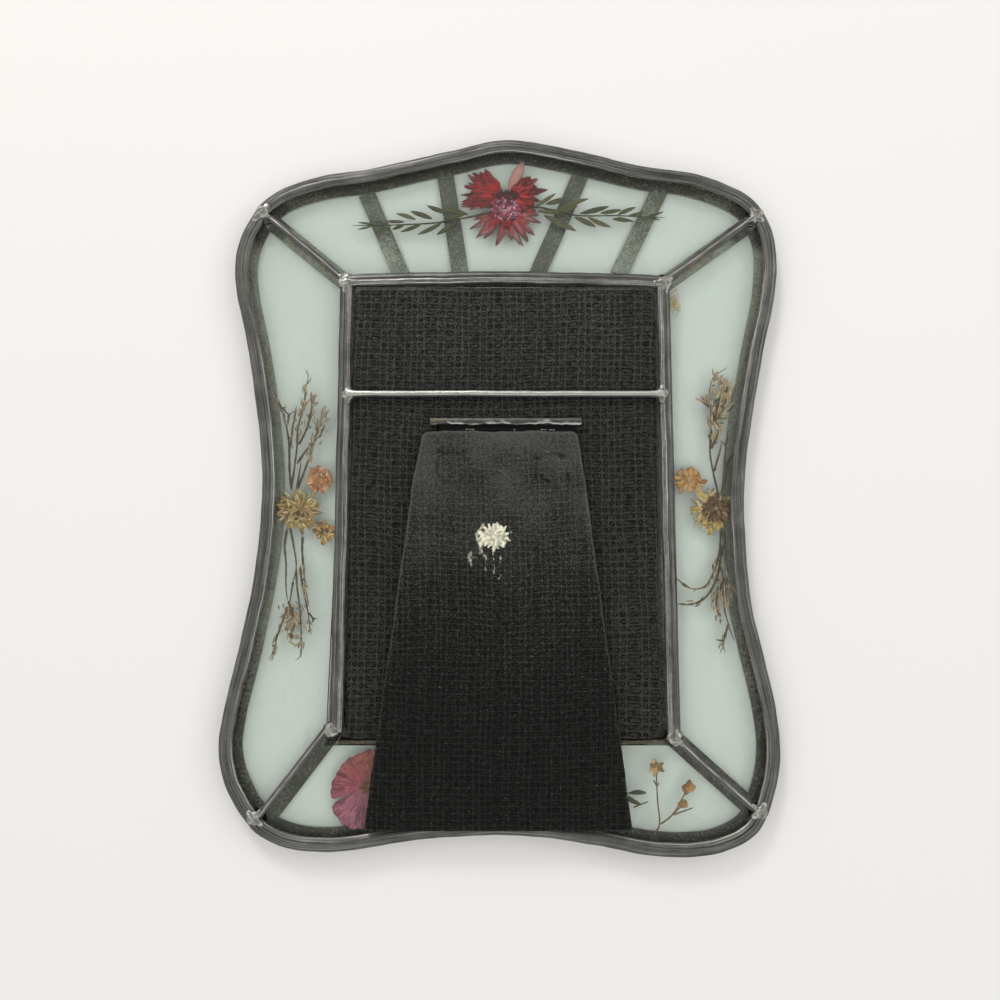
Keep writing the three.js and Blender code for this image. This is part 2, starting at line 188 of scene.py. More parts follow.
# clear glass with faint haze, specks of dust and one small brown stain
def glassFinish(name, look):
    f = Finish(name)
    clear = f.principled(Base_Color=look["tint"], Roughness=0.015, IOR=1.47, Transmission_Weight=1.0,
                         Normal=f.bump(f.noise(f.place(), 22, 1), 0.0004, 0.25))
    spots = f.step(f.noise(f.place(), 1500, 2, 0.5), 0.735, 0.76)
    patches = f.step(f.noise(f.place(), 38, 3, 0.6), 0.48, 0.7)
    film = f.step(f.noise(f.place((1, 0.25, 1)), 260, 4, 0.7), 0.55, 0.8) * patches
    far = f.node("VectorMath", {"operation": "DISTANCE"}, {0: f.place((1, 0.45, 1)), 1: look["stainAt"]}, 1)
    ragged = (f.noise(f.place((1, 0.5, 1)), 900, 4, 0.7) - 0.5) * 0.006
    stain = f.step(far + ragged, look["stainSize"], 0.0, 0.0, 0.55)
    color = f.mix(f.step(stain, 0.0, 0.1), look["dust"], look["rust"])
    dust = f.node("BsdfDiffuse", {}, {"Color": color, "Roughness": 1.0})
    cover = spots * 0.8 + film * look["film"] + stain
    return f.done(f.node("MixShader", {}, {0: cover, 1: clear, 2: dust}))


columnWidths = (1, 1, 1.5, 1, 1, 1, 2.2, 1, 1.6, 1, 1, 1.9)  # the pattern's columns, then the same again

columnWidths = (1, 1, 1.5, 1, 1, 1, 2.2, 1, 1.6, 1, 1, 1.9)  # the pattern's columns, then the same again
columnEdges = [sum(columnWidths[:i]) for i in range(len(columnWidths) + 1)]


# black paper pressed with rows of small rings, their outlines darkened as painted shade, on board: masks of
# shaded dents, wear and residue come from the mesh, and so does the uv, which counts the pattern's columns
# and rows
def paperFinish(name, look):
    f = Finish(name)
    worn = f.attribute("worn")
    amount = f.attribute("residue")
    residue = f.step(amount * (0.4 + f.noise(f.place(), 1500, 4, 0.7) * 1.3), 0.3, 0.58)
    fibre = f.noise(f.place(), 1500, 4, 0.65)
    cloud = f.noise(f.place(), 55, 3, 0.6)
    # the rings' places on the uv, pushed about a little by a slow noise
    drift = f.node("TexNoise", {}, {"Vector": f.surface(), "Scale": 1.1, "Detail": 3.0}, 1)
    drift = f.node("VectorMath", {"operation": "SUBTRACT"}, {0: drift, 1: (0.5, 0.5, 0.5)})
    drift = f.node("VectorMath", {"operation": "SCALE"}, {0: drift, "Scale": look["drift"]})
    spot = f.node("VectorMath", {"operation": "ADD"}, {0: f.surface(), 1: drift})
    column = f.node("SeparateXYZ", {}, {"Vector": spot}, 0).math("FLOORED_MODULO", columnEdges[-1])
    row = f.node("SeparateXYZ", {}, {"Vector": spot}, 1)
    sideways = column
    for edge in columnEdges[1:]:
        sideways = sideways.math("MINIMUM", (column - edge).math("ABSOLUTE"))
    # distance inside a rounded cell: r - length of (r - sideways, r - upwards), neither below 0
    a = (look["round"] - (sideways - look["gap"])).math("MAXIMUM", 0.0)
    b = (look["round"] - (row.math("PINGPONG", 0.5) - look["gap"])).math("MAXIMUM", 0.0)
    inside = look["round"] - (a * a + b * b) ** 0.5
    middle = f.step(f.noise(spot, 0.9, 2), 0.4, 0.58, 0.1, look["hollow"])
    unworn = 1 - f.step(worn, 0.3, 0.62) * 0.85
    pressed = f.step(f.noise(spot, 1.3, 3, 0.7), 0.35, 0.6, 0.25, 1.0) * unworn
    # painted shade in the rings' outlines, less where the paper is worn or crusted
    ring = (f.step(inside, 0.0, 0.12) - f.step(inside, 0.19, 0.31) * middle) * pressed * (1 - residue)
    pit = (ring * look["ring"] + f.attribute("pit")).math("MINIMUM", 1.0)
    dust = f.step(f.noise(f.place(), 1250, 2, 0.6) + worn * 0.05, 0.7, 0.76)
    age = f.step(worn + (fibre - 0.5) * 1.7 + (cloud - 0.5) * 0.25, 0.0, 1.0)
    aged = f.mix(pit * 0.96, f.mix(age, look["ridge"], look["worn"]), look["pit"])
    specked = f.mix(dust * 0.3, aged, look["dust"])
    powder = f.noise(f.place(), 1100, 3, 0.6) * 0.6 + amount * 0.55
    chalk = f.ramp(powder, (0.5, look["chalkShade"]), (0.86, look["chalk"]))
    height = fibre * 0.5 - ring * 1.8 + residue * f.noise(f.place(), 1300, 3)
    return f.done(f.principled(
        Base_Color=f.mix(residue, specked, chalk),
        Roughness=0.55 + (fibre - 0.5) * 0.25 + pit * 0.15 + worn * 0.1 + residue * 0.3,
        Specular_IOR_Level=0.08,
        Normal=f.bump(height, 0.00014, 1.0)))


# dried petals and leaves: "tint" is the colour worked out on the mesh, fine veins run along each piece
def petalFinish(name, look):
    f = Finish(name)
    veins = f.noise(f.surface((look["veins"], 1.1, 1)), 3, 3, 0.6)
    blotch = f.noise(f.place(), look["blotch"], 3, 0.6)
    tint = f.attribute("tint", "Color")
    shaded = f.mix(f.step(veins, 0.42, 0.62) * look["veinDepth"], tint, look["vein"], "MULTIPLY")
    color = f.mix(f.step(blotch, 0.45, 0.72) * look["blotchDepth"], shaded, look["stain"])
    return f.done(f.principled(
        Base_Color=color,
        Roughness=0.72 + (blotch - 0.5) * 0.3,
        Normal=f.bump(veins + blotch * 0.4, 0.00006, 0.7)))


leadRust = (0.14, 0.085, 0.03)
dullLead = ((0.036, 0.03, 0.016), (0.42, 0.395, 0.33))
leadLook = {"dark": (0.05, 0.049, 0.046), "light": (0.205, 0.202, 0.19), "bright": (0.43, 0.425, 0.4),
            "tin": 0.9, "metal": 0.9, "dull": dullLead, "drawn": (5, 0.06, 1)}
stripLook = {"dark": (0.05, 0.052, 0.045), "light": (0.21, 0.215, 0.2), "bright": (0.36, 0.36, 0.33),
             "tin": 0.4, "metal": 0.25, "dull": ((0.08, 0.077, 0.058), (0.56, 0.54, 0.46)),
             "drawn": (1.6, 1.2, 1)}
# heights in metres: below "raised" solder lies under the back lips and takes a dark colour as painted shade
solderLook = {"shade": (0.15, 0.147, 0.133), "light": (0.46, 0.455, 0.425), "grime": (0.1, 0.09, 0.07),
              "shadeUnderLips": (0.028, 0.026, 0.02), "raised": (0.0068, 0.0071)}
# the stain is beside the right pocket came, and its place is written with the y axis squashed to 0.45
glassLook = {"tint": (0.966, 1.0, 0.98), "dust": (0.55, 0.54, 0.5), "film": 0.06, "rust": (0.6, 0.45, 0.15),
             "stainAt": (0.0581, 0.0279, 0.004), "stainSize": 0.0024}
paperLook = {"ring": 0.95, "hollow": 0.85, "round": 0.42, "gap": 0.05, "drift": 0.3,
             "ridge": (0.025, 0.025, 0.023), "pit": (0.0015, 0.0015, 0.0015), "worn": (0.1, 0.1, 0.092),
             "dust": (0.3, 0.3, 0.28), "chalk": (0.76, 0.73, 0.56), "chalkShade": (0.17, 0.17, 0.135)}
legPaperLook = {**paperLook, "hollow": 0.6, "ridge": (0.0105, 0.0105, 0.0095), "worn": (0.08, 0.08, 0.073)}
petalLook = {"veins": 14, "veinDepth": 0.6, "vein": (0.5, 0.35, 0.35), "blotch": 600, "blotchDepth": 0.25,
             "stain": (0.16, 0.05, 0.04)}
peachLook = {**petalLook, "vein": (0.75, 0.5, 0.35), "stain": (0.45, 0.22, 0.10)}
yellowLook = {**petalLook, "vein": (0.6, 0.45, 0.25), "stain": (0.22, 0.13, 0.05)}
pinkLook = {**petalLook, "veinDepth": 0.85, "vein": (0.45, 0.2, 0.35), "stain": (0.35, 0.10, 0.12)}
leafShadowLook = {**petalLook, "vein": (0.6, 0.6, 0.5), "stain": (0.05, 0.045, 0.02)}
stemLook = {**petalLook, "vein": (0.6, 0.5, 0.4), "stain": (0.10, 0.07, 0.045)}

finishes = {  # by slot; the wire's and the hinge's are made beside their pieces
    "lead": leadFinish("pewterLead", leadLook),
    "lead_strip": leadFinish("stripLead", stripLook),
    "solder": solderFinish("oldSolder", solderLook),
    "glass": glassFinish("clearGlass", glassLook),
    "embossed_black": paperFinish("embossedBlackPaper", paperLook),
    "leg_paper": paperFinish("embossedLegPaper", legPaperLook),
    "crimson_petal": petalFinish("crimsonPetal", petalLook),
    "peach_petal": petalFinish("peachPetal", peachLook),
    "yellow_petal": petalFinish("yellowPetal", yellowLook),
    "pink_petal": petalFinish("pinkPetal", pinkLook),
    "dried_leaf": petalFinish("driedLeaf", leafShadowLook),
    "dried_stem": petalFinish("driedStem", stemLook),
}
print("finishes made")


def smooth(value, low, high):
    # 0 below low, 1 above high and a smooth step between them
    t = np.clip((value - low) / (high - low), 0, 1)
    return t * t * (3 - 2 * t)


scramble = (73856093, 19349663, 83492791, 1274126177)  # large primes that mix the bits of whole numbers


def mottle(x, y, seed):
    # noise from 0 to 1: a scrambled number for each whole point, blended by a smooth step
    i, j = np.floor(x).astype(np.int64), np.floor(y).astype(np.int64)
    fx, fy = smooth(x - i, 0, 1), smooth(y - j, 0, 1)

    def corner(a, b):
        key = ((i + a) * scramble[0]) ^ ((j + b) * scramble[1]) ^ ((seed + 1) * scramble[2])
        key = ((key ^ (key >> 13)) * scramble[3]) & 0x7FFFFFFF
        return ((key ^ (key >> 15)) & 0xFFFF) / 0xFFFF

    low = corner(0, 0) * (1 - fx) + corner(1, 0) * fx
    high = corner(0, 1) * (1 - fx) + corner(1, 1) * fx
    return low * (1 - fy) + high * fy


def wander(t, seed, wave):
    # a slow hand-made wobble from about -1 to 1: three sines with seeded phases
    phases = np.random.default_rng(seed).uniform(0, tau, 3)
    sines = zip((0.6, 0.35, 0.2), (1, 0.43, 0.19), phases)
    return sum([size * np.sin(tau * t / (wave * share) + phase) for size, share, phase in sines])


def bell(distance, width):
    return np.exp(-((distance / width) ** 2))


def circle(count):
    # angles at equal steps once round
    return np.linspace(0, tau, count, endpoint=False)


def turnFrom(degrees, angle):
    # how far each angle is from a direction, from -pi to pi
    return np.angle(np.exp(1j * (angle - radians(degrees))))


def curveThrough(points, count, closed=False):
    # centripetal Catmull-Rom curve through the points, taken at equal steps of its length
    p = np.array(points, float)
    if closed:
        p0, p1, p2, p3 = (np.roll(p, shift, 0) for shift in (1, 0, -1, -2))
    else:
        longer = np.vstack([2 * p[0] - p[1], p, 2 * p[-1] - p[-2]])
        p0, p1, p2, p3 = longer[:-3], longer[1:-2], longer[2:-1], longer[3:]
    d0, d1, d2 = (np.linalg.norm(b - a, axis=1)[:, None] ** 0.5 for a, b in ((p0, p1), (p1, p2), (p2, p3)))
    m1 = ((p1 - p0) / d0 - (p2 - p0) / (d0 + d1) + (p2 - p1) / d1) * d1
    m2 = ((p2 - p1) / d1 - (p3 - p1) / (d1 + d2) + (p3 - p2) / d2) * d1
    t = np.linspace(0, 1, 25)[None, :-1, None]
    a, b, c, d = (part[:, None] for part in (p1, m1, p2, m2))
    fine = (a * (2 * t**3 - 3 * t**2 + 1) + b * (t**3 - 2 * t**2 + t)
            + c * (3 * t**2 - 2 * t**3) + d * (t**3 - t**2))
    fine = np.vstack([fine.reshape(-1, p.shape[1]), p[:1] if closed else p[-1:]])
    run = np.r_[0, np.cumsum(np.linalg.norm(np.diff(fine, axis=0), axis=1))]
    at = np.linspace(0, run[-1], count + closed)[:count]
    return np.stack([np.interp(at, run, fine[:, k]) for k in range(p.shape[1])], 1)


def leftOf(path):
    # unit vectors to the left of a level path
    step = np.gradient(path[:, :2], axis=0)
    return np.stack([-step[:, 1], step[:, 0]], 1) / np.linalg.norm(step, axis=1)[:, None]


def lengthAlong(path):
    return np.r_[0, np.cumsum(np.linalg.norm(np.diff(path, axis=0), axis=1))]


def quads(count, rows, columns):
    # corner numbers of the faces of count grids, with the last column joined to the first
    start = (np.arange(count) * rows * columns)[:, None, None]
    row = np.arange(rows - 1)[None, :, None] * columns
    column = np.arange(columns)[None, None, :]
    here, beside = start + row + column, start + row + (column + 1) % columns
    return np.stack([here, beside, beside + columns, here + columns], -1).reshape(-1, 4)


# a piece from grids of points: each surface is a dict with points (count, rows, columns, 3), and may have
# along (a uv), tint (a colour) and named masks of the same grid, and caps (its end rows filled by one face);
# edges of more than sharp degrees stay hard, and the finish is its slot's, unless another is given
def addPiece(name, surfaces, slot, nodes, body="frame", sharp=0, finish=None):
    points, faces, ends, first = [], [], [], 0
    for surface in surfaces:
        grid = surface["points"] = np.asarray(surface["points"], float)
        if grid.ndim == 3:
            grid = surface["points"] = grid[None]
        count, rows, columns, _ = grid.shape
        points.append(grid.reshape(-1, 3))
        faces.append(quads(count, rows, columns) + first)
        if surface.get("caps"):
            ends.append((first + np.arange(columns))[::-1].tolist())
            ends.append((first + (rows - 1) * columns + np.arange(columns)).tolist())
        first += grid[..., 0].size
    points = np.concatenate(points) * mm
    mesh = bpy.data.meshes.new(name)
    mesh.from_pydata(points.tolist(), [], np.concatenate(faces).tolist() + ends)

    def gather(key, size):
        # size values for each vertex, in a row, with 0 where a surface has none
        return np.concatenate([np.broadcast_to(
            s.get(key, np.zeros(size)), (*s["points"].shape[:3], size)).reshape(-1, size) for s in surfaces])

    corner = np.empty(len(mesh.loops), np.int32)
    mesh.loops.foreach_get("vertex_index", corner)
    along = mesh.uv_layers.new(name="along")
    along.uv.foreach_set("vector", gather("along", 2)[corner].astype(np.float32).ravel())
    if any("tint" in s for s in surfaces):
        color = np.c_[gather("tint", 3), np.ones(len(points))].astype(np.float32)
        mesh.attributes.new("tint", "FLOAT_COLOR", "POINT").data.foreach_set("color", color.ravel())
    for mask in sorted({key for s in surfaces for key in s} & {"tinned", "pit", "worn", "residue"}):
        values = np.concatenate([
            np.broadcast_to(s.get(mask, 0.0), s["points"].shape[:3]).ravel() for s in surfaces])
        mesh.attributes.new(mask, "FLOAT", "POINT").data.foreach_set("value", values.astype(np.float32))
    welded = bmesh.new()
    welded.from_mesh(mesh)
    bmesh.ops.remove_doubles(welded, verts=welded.verts, dist=2e-7)
    bmesh.ops.dissolve_degenerate(welded, edges=welded.edges, dist=1e-7)
    welded.to_mesh(mesh)
    welded.free()
    mesh.polygons.foreach_set("use_smooth", np.ones(len(mesh.polygons), bool))
    if sharp:
        mesh.set_sharp_from_angle(angle=radians(sharp))
    mesh.materials.append(finish or finishes[slot])
    piece = bpy.data.objects.new(name, mesh)
    scene.collection.objects.link(piece)
    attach(piece, body)
    if nodes:
        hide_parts(*nodes)


# came outlines as (across, up) loops, anticlockwise; the dome is a superellipse with drawn ridges
def dome(right, left, low, high, ridges, count=19):
    # height = low + (high - low) (1 - |2t - 1|^2.6)^0.55, plus a small bell for each ridge or groove
    t = np.linspace(0, 1, count)
    t = 0.5 - 0.5 * np.cos(pi * t) * (0.65 + 0.35 * np.abs(np.cos(pi * t)))
    across = right + (left - right) * t
    up = low + (high - low) * (1 - np.abs(2 * t - 1) ** 2.6) ** 0.55
    for place, size, width in ridges:
        up = up + size * bell(across - place, width)
    return np.stack([across, np.minimum(up, high + 0.02)], 1)


outerCorners = {"topLeft": (-83.6, 93.4), "bottomLeft": (-79.4, -108.2), "bottomRight": (80.4, -106.2),
                "topRight": (86.4, 92.2)}
stains = [(67.8, 77.0, 1.6), (64, 74.6, 1.2), (57.2, 69.5, 1.6), (55.6, 99.5, 3.0), (57.2, 60.5, 2.0),
          (-62.5, 74.5, 1.3)]  # rust: x, y, size
cameLook = {"wobble": 0.14, "uneven": 0.1, "step": 0.8}


def came(path, outline, seed, tinned, offset=0.0):
    # the outline carried along the path, with a slow sideways wobble and an uneven back; inside its channels
    # it is dull, with painted shade deepest low down, by the crown and near the outer corners, and rusty at
    # the stains
    run = lengthAlong(path) + offset
    across, up = outline[:, 0], outline[:, 1]
    side = across[None] + cameLook["wobble"] * wander(run, seed, 43)[:, None] * smooth(up, 1.3, 6)[None]
    dips = 1.4 * (mottle(run[:, None] / 7, across[None] / 0.9, seed + 2) - 0.7)
    lift = cameLook["uneven"] * (wander(run, seed + 1, 23)[:, None] + dips) * smooth(up, 5.9, 6.6)[None]
    points = np.empty((len(path), len(outline), 3))
    points[..., :2] = path[:, None] + leftOf(path)[:, None] * side[..., None]
    points[..., 2] = up[None] + np.minimum(lift, 0.05)
    girth = np.r_[0, np.cumsum(np.hypot(*np.diff(outline, axis=0).T))]
    along = np.stack(np.broadcast_arrays(girth[None] / 10, run[:, None] / 10), -1)
    grid = {"points": points, "caps": True, "along": along[None]}
    inner = (up > 0.9) & (up < 6.04) & ((across > 0.3) | (across.min() < -0.5))
    x, y = points[..., 0], points[..., 1]
    # painted shade: darker towards the bottom, by the crown and near the outer corners
    gloom = 0.55 + 0.45 * np.maximum(smooth(-y, 20, 95), smooth(y - np.abs(x) / 2, 40, 80))
    for cornerX, cornerY in outerCorners.values():
        gloom = np.maximum(gloom, smooth(np.hypot(x - cornerX, y - cornerY), 17, 7))
    grid["worn"] = (inner * gloom)[None]
    rust = [bell(np.hypot(x - stainX, y - stainY), size) for stainX, stainY, size in stains]
    grid["residue"] = sum(rust)[None]
    grid["tinned"] = tinned(across[None], up[None], run[:, None])[None]
    return grid


# outer came: a channel bent along the outer edge, anticlockwise from the crown
outerEdge = [
    (0.5, 120), (-7.5, 118.9), (-16.3, 116.5), (-32, 113), (-47.7, 109.2), (-65, 106.4), (-77, 102.3),
    (-82.4, 98.7), (-86.1, 94.7), (-91, 85), (-92.8, 75), (-91.7, 64.2), (-87.2, 44.2),
    (-82.5, 15.8), (-81, -6.3), (-82.4, -28.4), (-87.2, -56.8), (-91.4, -76.6), (-92.2, -88),
    (-88.8, -99.7), (-80, -112.1), (-70.3, -117), (-58, -118.5), (-46.1, -117.4), (-29.3, -114.9),
    (-0.4, -113.2), (13.8, -114.3), (29, -116.5), (46.3, -119.5), (58, -120), (69.6, -118.2),
    (80, -112.1), (85.8, -99.7), (88, -87), (86.9, -73.7), (83.1, -54.8), (80.3, -39.9),
    (78.9, -16.8), (79.2, -4), (81.6, 15.7), (87.4, 44.5), (91.9, 64.7), (93, 78),
    (92, 86.4), (87.7, 95.7), (81.8, 101.1), (65.2, 107.6), (47.9, 110.3), (31.9, 114.2), (16.1, 117.9),
    (8, 119.5)]
rim = curveThrough(outerEdge, 860, closed=True)
rimStep = 0.86  # about the length between two of its points
outerOutline = np.vstack([
    [(0.5, 0.14), (2, 0.1), (4, 0.1), (5.9, 0.14), (6.3, 0.4), (6.35, 1.15), (1.2, 1.2), (1.2, 6.0),
     (4.1, 6.0)],
    dome(4.4, 0, 6.0, 7.2, [(3.75, -0.16, 0.22), (2.9, 0.05, 0.3), (1.3, 0.05, 0.35), (0.6, -0.08, 0.2)],
         23),
    [(0, 5.2), (-0.03, 4), (-0.03, 2.4), (0, 0.7), (0.14, 0.3)]])


def nearest(point):
    return int(np.argmin(np.hypot(*(rim - point).T)))


# painted highlight lines along its back: how far across, width, shine, length of their patches and seed
rimLines = ((1.15, 0.28, 0.4, 9, 5), (2.7, 0.22, 0.25, 7, 6), (4.15, 0.18, 1.0, 26, 7))


def rimHighlight(across, up, run):
    shine = 0
    for at, width, bright, patch, seed in rimLines:
        line = bell(across - at - 0.12 * wander(run, seed, 60), width)
        shine = shine + bright * line * smooth(mottle(run / patch, run * 0, seed), 0.1, 0.8)
    return smooth(up, 5.9, 6.4) * np.minimum(shine, 1)


order = ["topRight", "topLeft", "bottomLeft", "bottomRight", "topRight"]
for side, start, end in zip(("top", "left", "bottom", "right"), order, order[1:]):
    first, last = nearest(outerCorners[start]), nearest(outerCorners[end])
    count = (last - first) % len(rim)
    ring = rim[(first - 1 + np.arange(count + 3)) % len(rim)]  # one point more at each end, taken off below
    grid = came(ring, outerOutline, 3, rimHighlight, offset=first * rimStep)
    grid["points"] = grid["points"][1:-1]
    for key in ("along", "tinned", "worn", "residue"):
        grid[key] = grid[key][:, 1:-1]
    addPiece(f"outerCame_{side}", [grid], "lead", [f"outer_came_{side}"], sharp=45)
print("outer came bent")

# pocket cames: a painted highlight on the half that faces the pocket
pocketLook = {"topLeft": (-54.4, 68.9), "topRight": (53.8, 68.6), "bead": 2.2, "archRise": 1.3, "ridges": [
    (0.15, -0.22, 0.2), (0.85, 0.1, 0.28), (1.4, -0.2, 0.16), (1.85, 0.22, 0.25), (-1.7, -0.1, 0.2)]}


def pocketHighlight(across, up, run):
    streak = mottle(run / 14, across * 2.6, 8) * 0.45 + mottle(run / 2.5, across * 1.5, 9) * 0.2
    return smooth(across, -0.1, 0.6) * smooth(up, 5.9, 6.4) * (0.2 + streak)


section = {"web": 0.6, "frontLip": 1.2, "backLip": 6.0, "back": 7.2}  # half the web's width, and heights


def doubleOutline(half, low, high, floor, ridges):
    # an H section: the front lip reaches from low to high, and the back bead half each way from the web
    web, frontLip, backLip, back = section.values()
    return np.vstack([
        [(low, floor), ((low + high) / 2, floor - 0.04), (high - 0.1, floor), (high, 0.5),
         (high, frontLip - 0.05), (web, frontLip), (web, backLip), (half - 0.1, backLip)],
        dome(half, -half, backLip + 0.05, back, ridges),
        [(-half + 0.1, backLip), (-web, backLip), (-web, frontLip), (low, frontLip - 0.05),
         (low - 0.02, 0.5)]])


def straight(a, b, step=cameLook["step"]):
    count = max(3, int(hypot(b[0] - a[0], b[1] - a[1]) / step))
    return np.linspace(a, b, count + 1)


left, right = pocketLook["topLeft"], pocketLook["topRight"]
t = np.linspace(0, 1, 136)[:, None]
crest = np.array([(left[0] + right[0]) / 2, left[1] + 2 * pocketLook["archRise"]])
arch = (1 - t) ** 2 * np.array(right) + 2 * t * (1 - t) * crest + t**2 * np.array(left)
pocketPaths = {
    "left": (straight(left, (-54.5, -81.4)), -2.2, 3.2, 0.1),
    "right": (straight((53.8, -83.2), right), -3.2, 3.9, 0.1),
    "top": (arch, -2.5, 2.5, 0.18),
}
for seed, (side, (path, low, high, floor)) in enumerate(pocketPaths.items()):
    outline = doubleOutline(pocketLook["bead"], low, high, floor, pocketLook["ridges"])
    grid = came(path, outline, 20 + 3 * seed, pocketHighlight)
    addPiece(f"pocketCame_{side}", [grid], "lead", [f"pocket_came_{side}"], sharp=45)


# a painted highlight along the top of the web
def ledgeHighlight(across, up, run):
    return smooth(up, 5, 5.6) * 0.7 + 0 * run


# bottom came: a front lip under the board and an upright web that the board stands on
ledge = np.array([(-0.6, 0.2), (1.5, 0.16), (3.8, 0.2), (4, 0.5), (4, 1.1), (0.6, 1.15), (0.6, 5.5),
                  (0.45, 5.68), (0, 5.7), (-0.45, 5.68), (-0.6, 5.5), (-0.6, 3), (-0.6, 1.0)])
grid = came(straight((-54.2, -84.8), (54, -84.8)), ledge, 40, ledgeHighlight)
addPiece("pocketCame_bottom", [grid], "lead", ["pocket_came_bottom"], sharp=45)

# diagonal cames: a narrow back bead, with the wide front lip seen through the glass
diagonalLook = {"lip": 2.9, "floor": 0.24, "sink": 0.1, "groove": (0.6, -0.5, 0.26), "step": 0.6}
diagonals = {  # node, start, end, how far the lip is off centre, half the bead's width
    "topLeft": ("top_left", (-84.6, 94.2), (-54.4, 68.9), 0, 1.1),
    "bottomLeft": ("bottom_left", (-80.4, -109.9), (-56.4, -78.4), -2.1, 0.95),
    "bottomRight": ("bottom_right", (80.6, -106.7), (54.2, -83.2), 0.4, 1.15),
    "topRight": ("top_right", (87.2, 92.8), (53.8, 68.6), 0.2, 1.25),
}


# a painted highlight along the middle of the back bead
def diagonalHighlight(across, up, run):
    return bell(across + 0.1, 0.4) * smooth(up, 6, 6.6) * (0.55 + 0.4 * mottle(run / 4, run * 0, 4))


for seed, (corner, (node, start, end, shift, half)) in enumerate(diagonals.items()):
    place, size, width = diagonalLook["groove"]
    grooves = [(place * half, size, width), (-place * half, size, width)]
    lip = diagonalLook["lip"]
    outline = doubleOutline(half, shift - lip, shift + lip, diagonalLook["floor"], grooves)
    outline[:, 1] = np.where(outline[:, 1] > 6.8, outline[:, 1] - diagonalLook["sink"], outline[:, 1])
    path = straight(start, end, diagonalLook["step"])
    grid = came(path, outline, 50 + 3 * seed, diagonalHighlight)
    addPiece(f"diagonalCame_{corner}", [grid], "lead", [f"diagonal_came_{node}"], sharp=45)
print("cames laid")


# solder joints: a post inside the corner with a lumpy cap that runs out over each came that meets there
def solderJoint(at, arms, foot, top, post, spread, seed, webs=()):
    # radius = post at mid height, growing at both ends to spread plus a bell for each arm's direction; a web
    # is a low bell that fills the corner between two cames; u runs from the foot to the middle of the cap
    angle = circle(64)[None]
    u = np.linspace(0, 1, 22)[:, None]
    reach = spread * (1 + 0.1 * wander(angle * 3, seed, 6.28))
    for direction, length, width in arms:
        lobe = 0.88 * length * bell(turnFrom(direction, angle), 1.5 * width)
        reach = np.maximum(reach, lobe + 0.1 * spread)
    skirt = reach
    for direction in webs:
        skirt = np.maximum(skirt, webLook["length"] * bell(turnFrom(direction, angle), webLook["width"]))
    edge = top - 1.35  # height of the cap's rim
    low = np.interp(u, [0, 0.1, 0.2, 0.3, 1], [0, 0.62, 0.95, 0.7, 0.7])
    high = np.interp(u, [0.45, 0.55, 0.7, 0.85, 1], [1, 0.97, 0.7, 0.36, 0])
    flange = np.minimum(reach * 0.8, 2.6)
    below = low * np.where(u < 0.25, flange, post)
    above = high * np.where(u < 0.56, skirt, reach)
    radius = np.where(u < 0.44, below, above)
    lowest = np.interp(u, [0, 0.2, 0.3], [foot, foot + 0.12, foot + 0.6]) if foot < 1 else foot + 0 * u
    rising = np.interp(u, [0.3, 0.42, 0.5, 0.62, 0.8, 1],
                       [foot + 0.7, edge - 0.5, edge, top - 0.4, top - 0.12, top])
    height = np.where(u < 0.3, lowest, rising)
    x, y = at[0] + radius * np.cos(angle), at[1] + radius * np.sin(angle)
    bump = (mottle(x / 2.1, y / 2.1, seed) - 0.55) * 0.32 + (mottle(x / 0.9, y / 0.9, seed + 1) - 0.5) * 0.06
    bump = bump + 0.08 * np.cos(radius * 4.6 + 2 * wander(angle, seed, 3.14))  # tide lines round the middle
    cap = smooth(u, 0.42, 0.5)
    height = height + bump * cap * smooth(high * cap, 0, 0.4) * np.ones_like(x)
    points = np.stack([x, y, np.minimum(height, top + 0.12)], -1)
    points[0, :, :2], points[-1, :, :2] = at, at
    points[-1, :, 2] = points[-1, :, 2].mean()
    return {"points": points}


webLook = {"length": 4.6, "width": 0.42}
jointLook = {"outer": (2.9, 7.7), "pocket": (2.2, 7.42), "wire": (1.6, 8.02),  # post's radius, cap's top
             "foot": 0.02, "wireFoot": 6.1}
joints = {  # place, arms (degrees, length, width in radians), spread, and degrees of any webs
    "outer_top_left": ((-84.0, 93.3), [(228, 5.2, 0.42), (50, 4.6, 0.5), (-38, 4.6, 0.26)], 2.35, [-68]),
    "outer_bottom_left": ((-80.1, -108.0), [(128, 3.8, 0.5), (-35, 4.6, 0.34), (52, 4.2, 0.26)], 2.3),
    "outer_bottom_right": ((80.8, -106.0), [(212, 4.2, 0.45), (64, 4.0, 0.5), (138, 4.4, 0.26)], 2.35),
    "outer_top_right": ((86.6, 92.2), [(-52, 3.8, 0.5), (128, 4.0, 0.5), (216, 5.0, 0.28)], 2.5, [-112]),
    "pocket_top_left": ((-54.5, 68.7), [(2, 5.5, 0.4), (-90, 6.5, 0.34), (140, 4.6, 0.3)], 2.9),
    "pocket_bottom_left": ((-56.2, -80.8), [(80, 3.4, 0.3), (232, 3.2, 0.34)], 2.6),
    "pocket_bottom_right": ((54.2, -83.2), [(90, 6.0, 0.3), (-40, 4.8, 0.3), (185, 3.4, 0.3)], 2.7),
    "pocket_top_right": ((54.2, 68.0), [(-90, 6.0, 0.34), (178, 5.2, 0.36), (36, 4.6, 0.3)], 2.9),
}
for seed, (node, (at, arms, spread, *webs)) in enumerate(joints.items()):
    post, top = jointLook[node.split("_")[0]]
    joint = solderJoint(at, arms, jointLook["foot"], top, post, spread, 60 + 2 * seed, *webs)
    addPiece(f"joint_{node}", [joint], "solder", [f"solder_{node}"])
for side, at, inward in (("left", (-53.0, 29.0), 0), ("right", (52.5, 29.3), 180)):
    arms = [(90, 3.6, 0.5), (-90, 3.8, 0.5), (inward, 2.2, 0.6)]
    post, top = jointLook["wire"]
    joint = solderJoint(at, arms, jointLook["wireFoot"], top, post, 2.2, 80 + len(side))
    addPiece(f"joint_wire_{side}", [joint], "solder", [f"solder_wire_{side}"])
print("joints soldered")

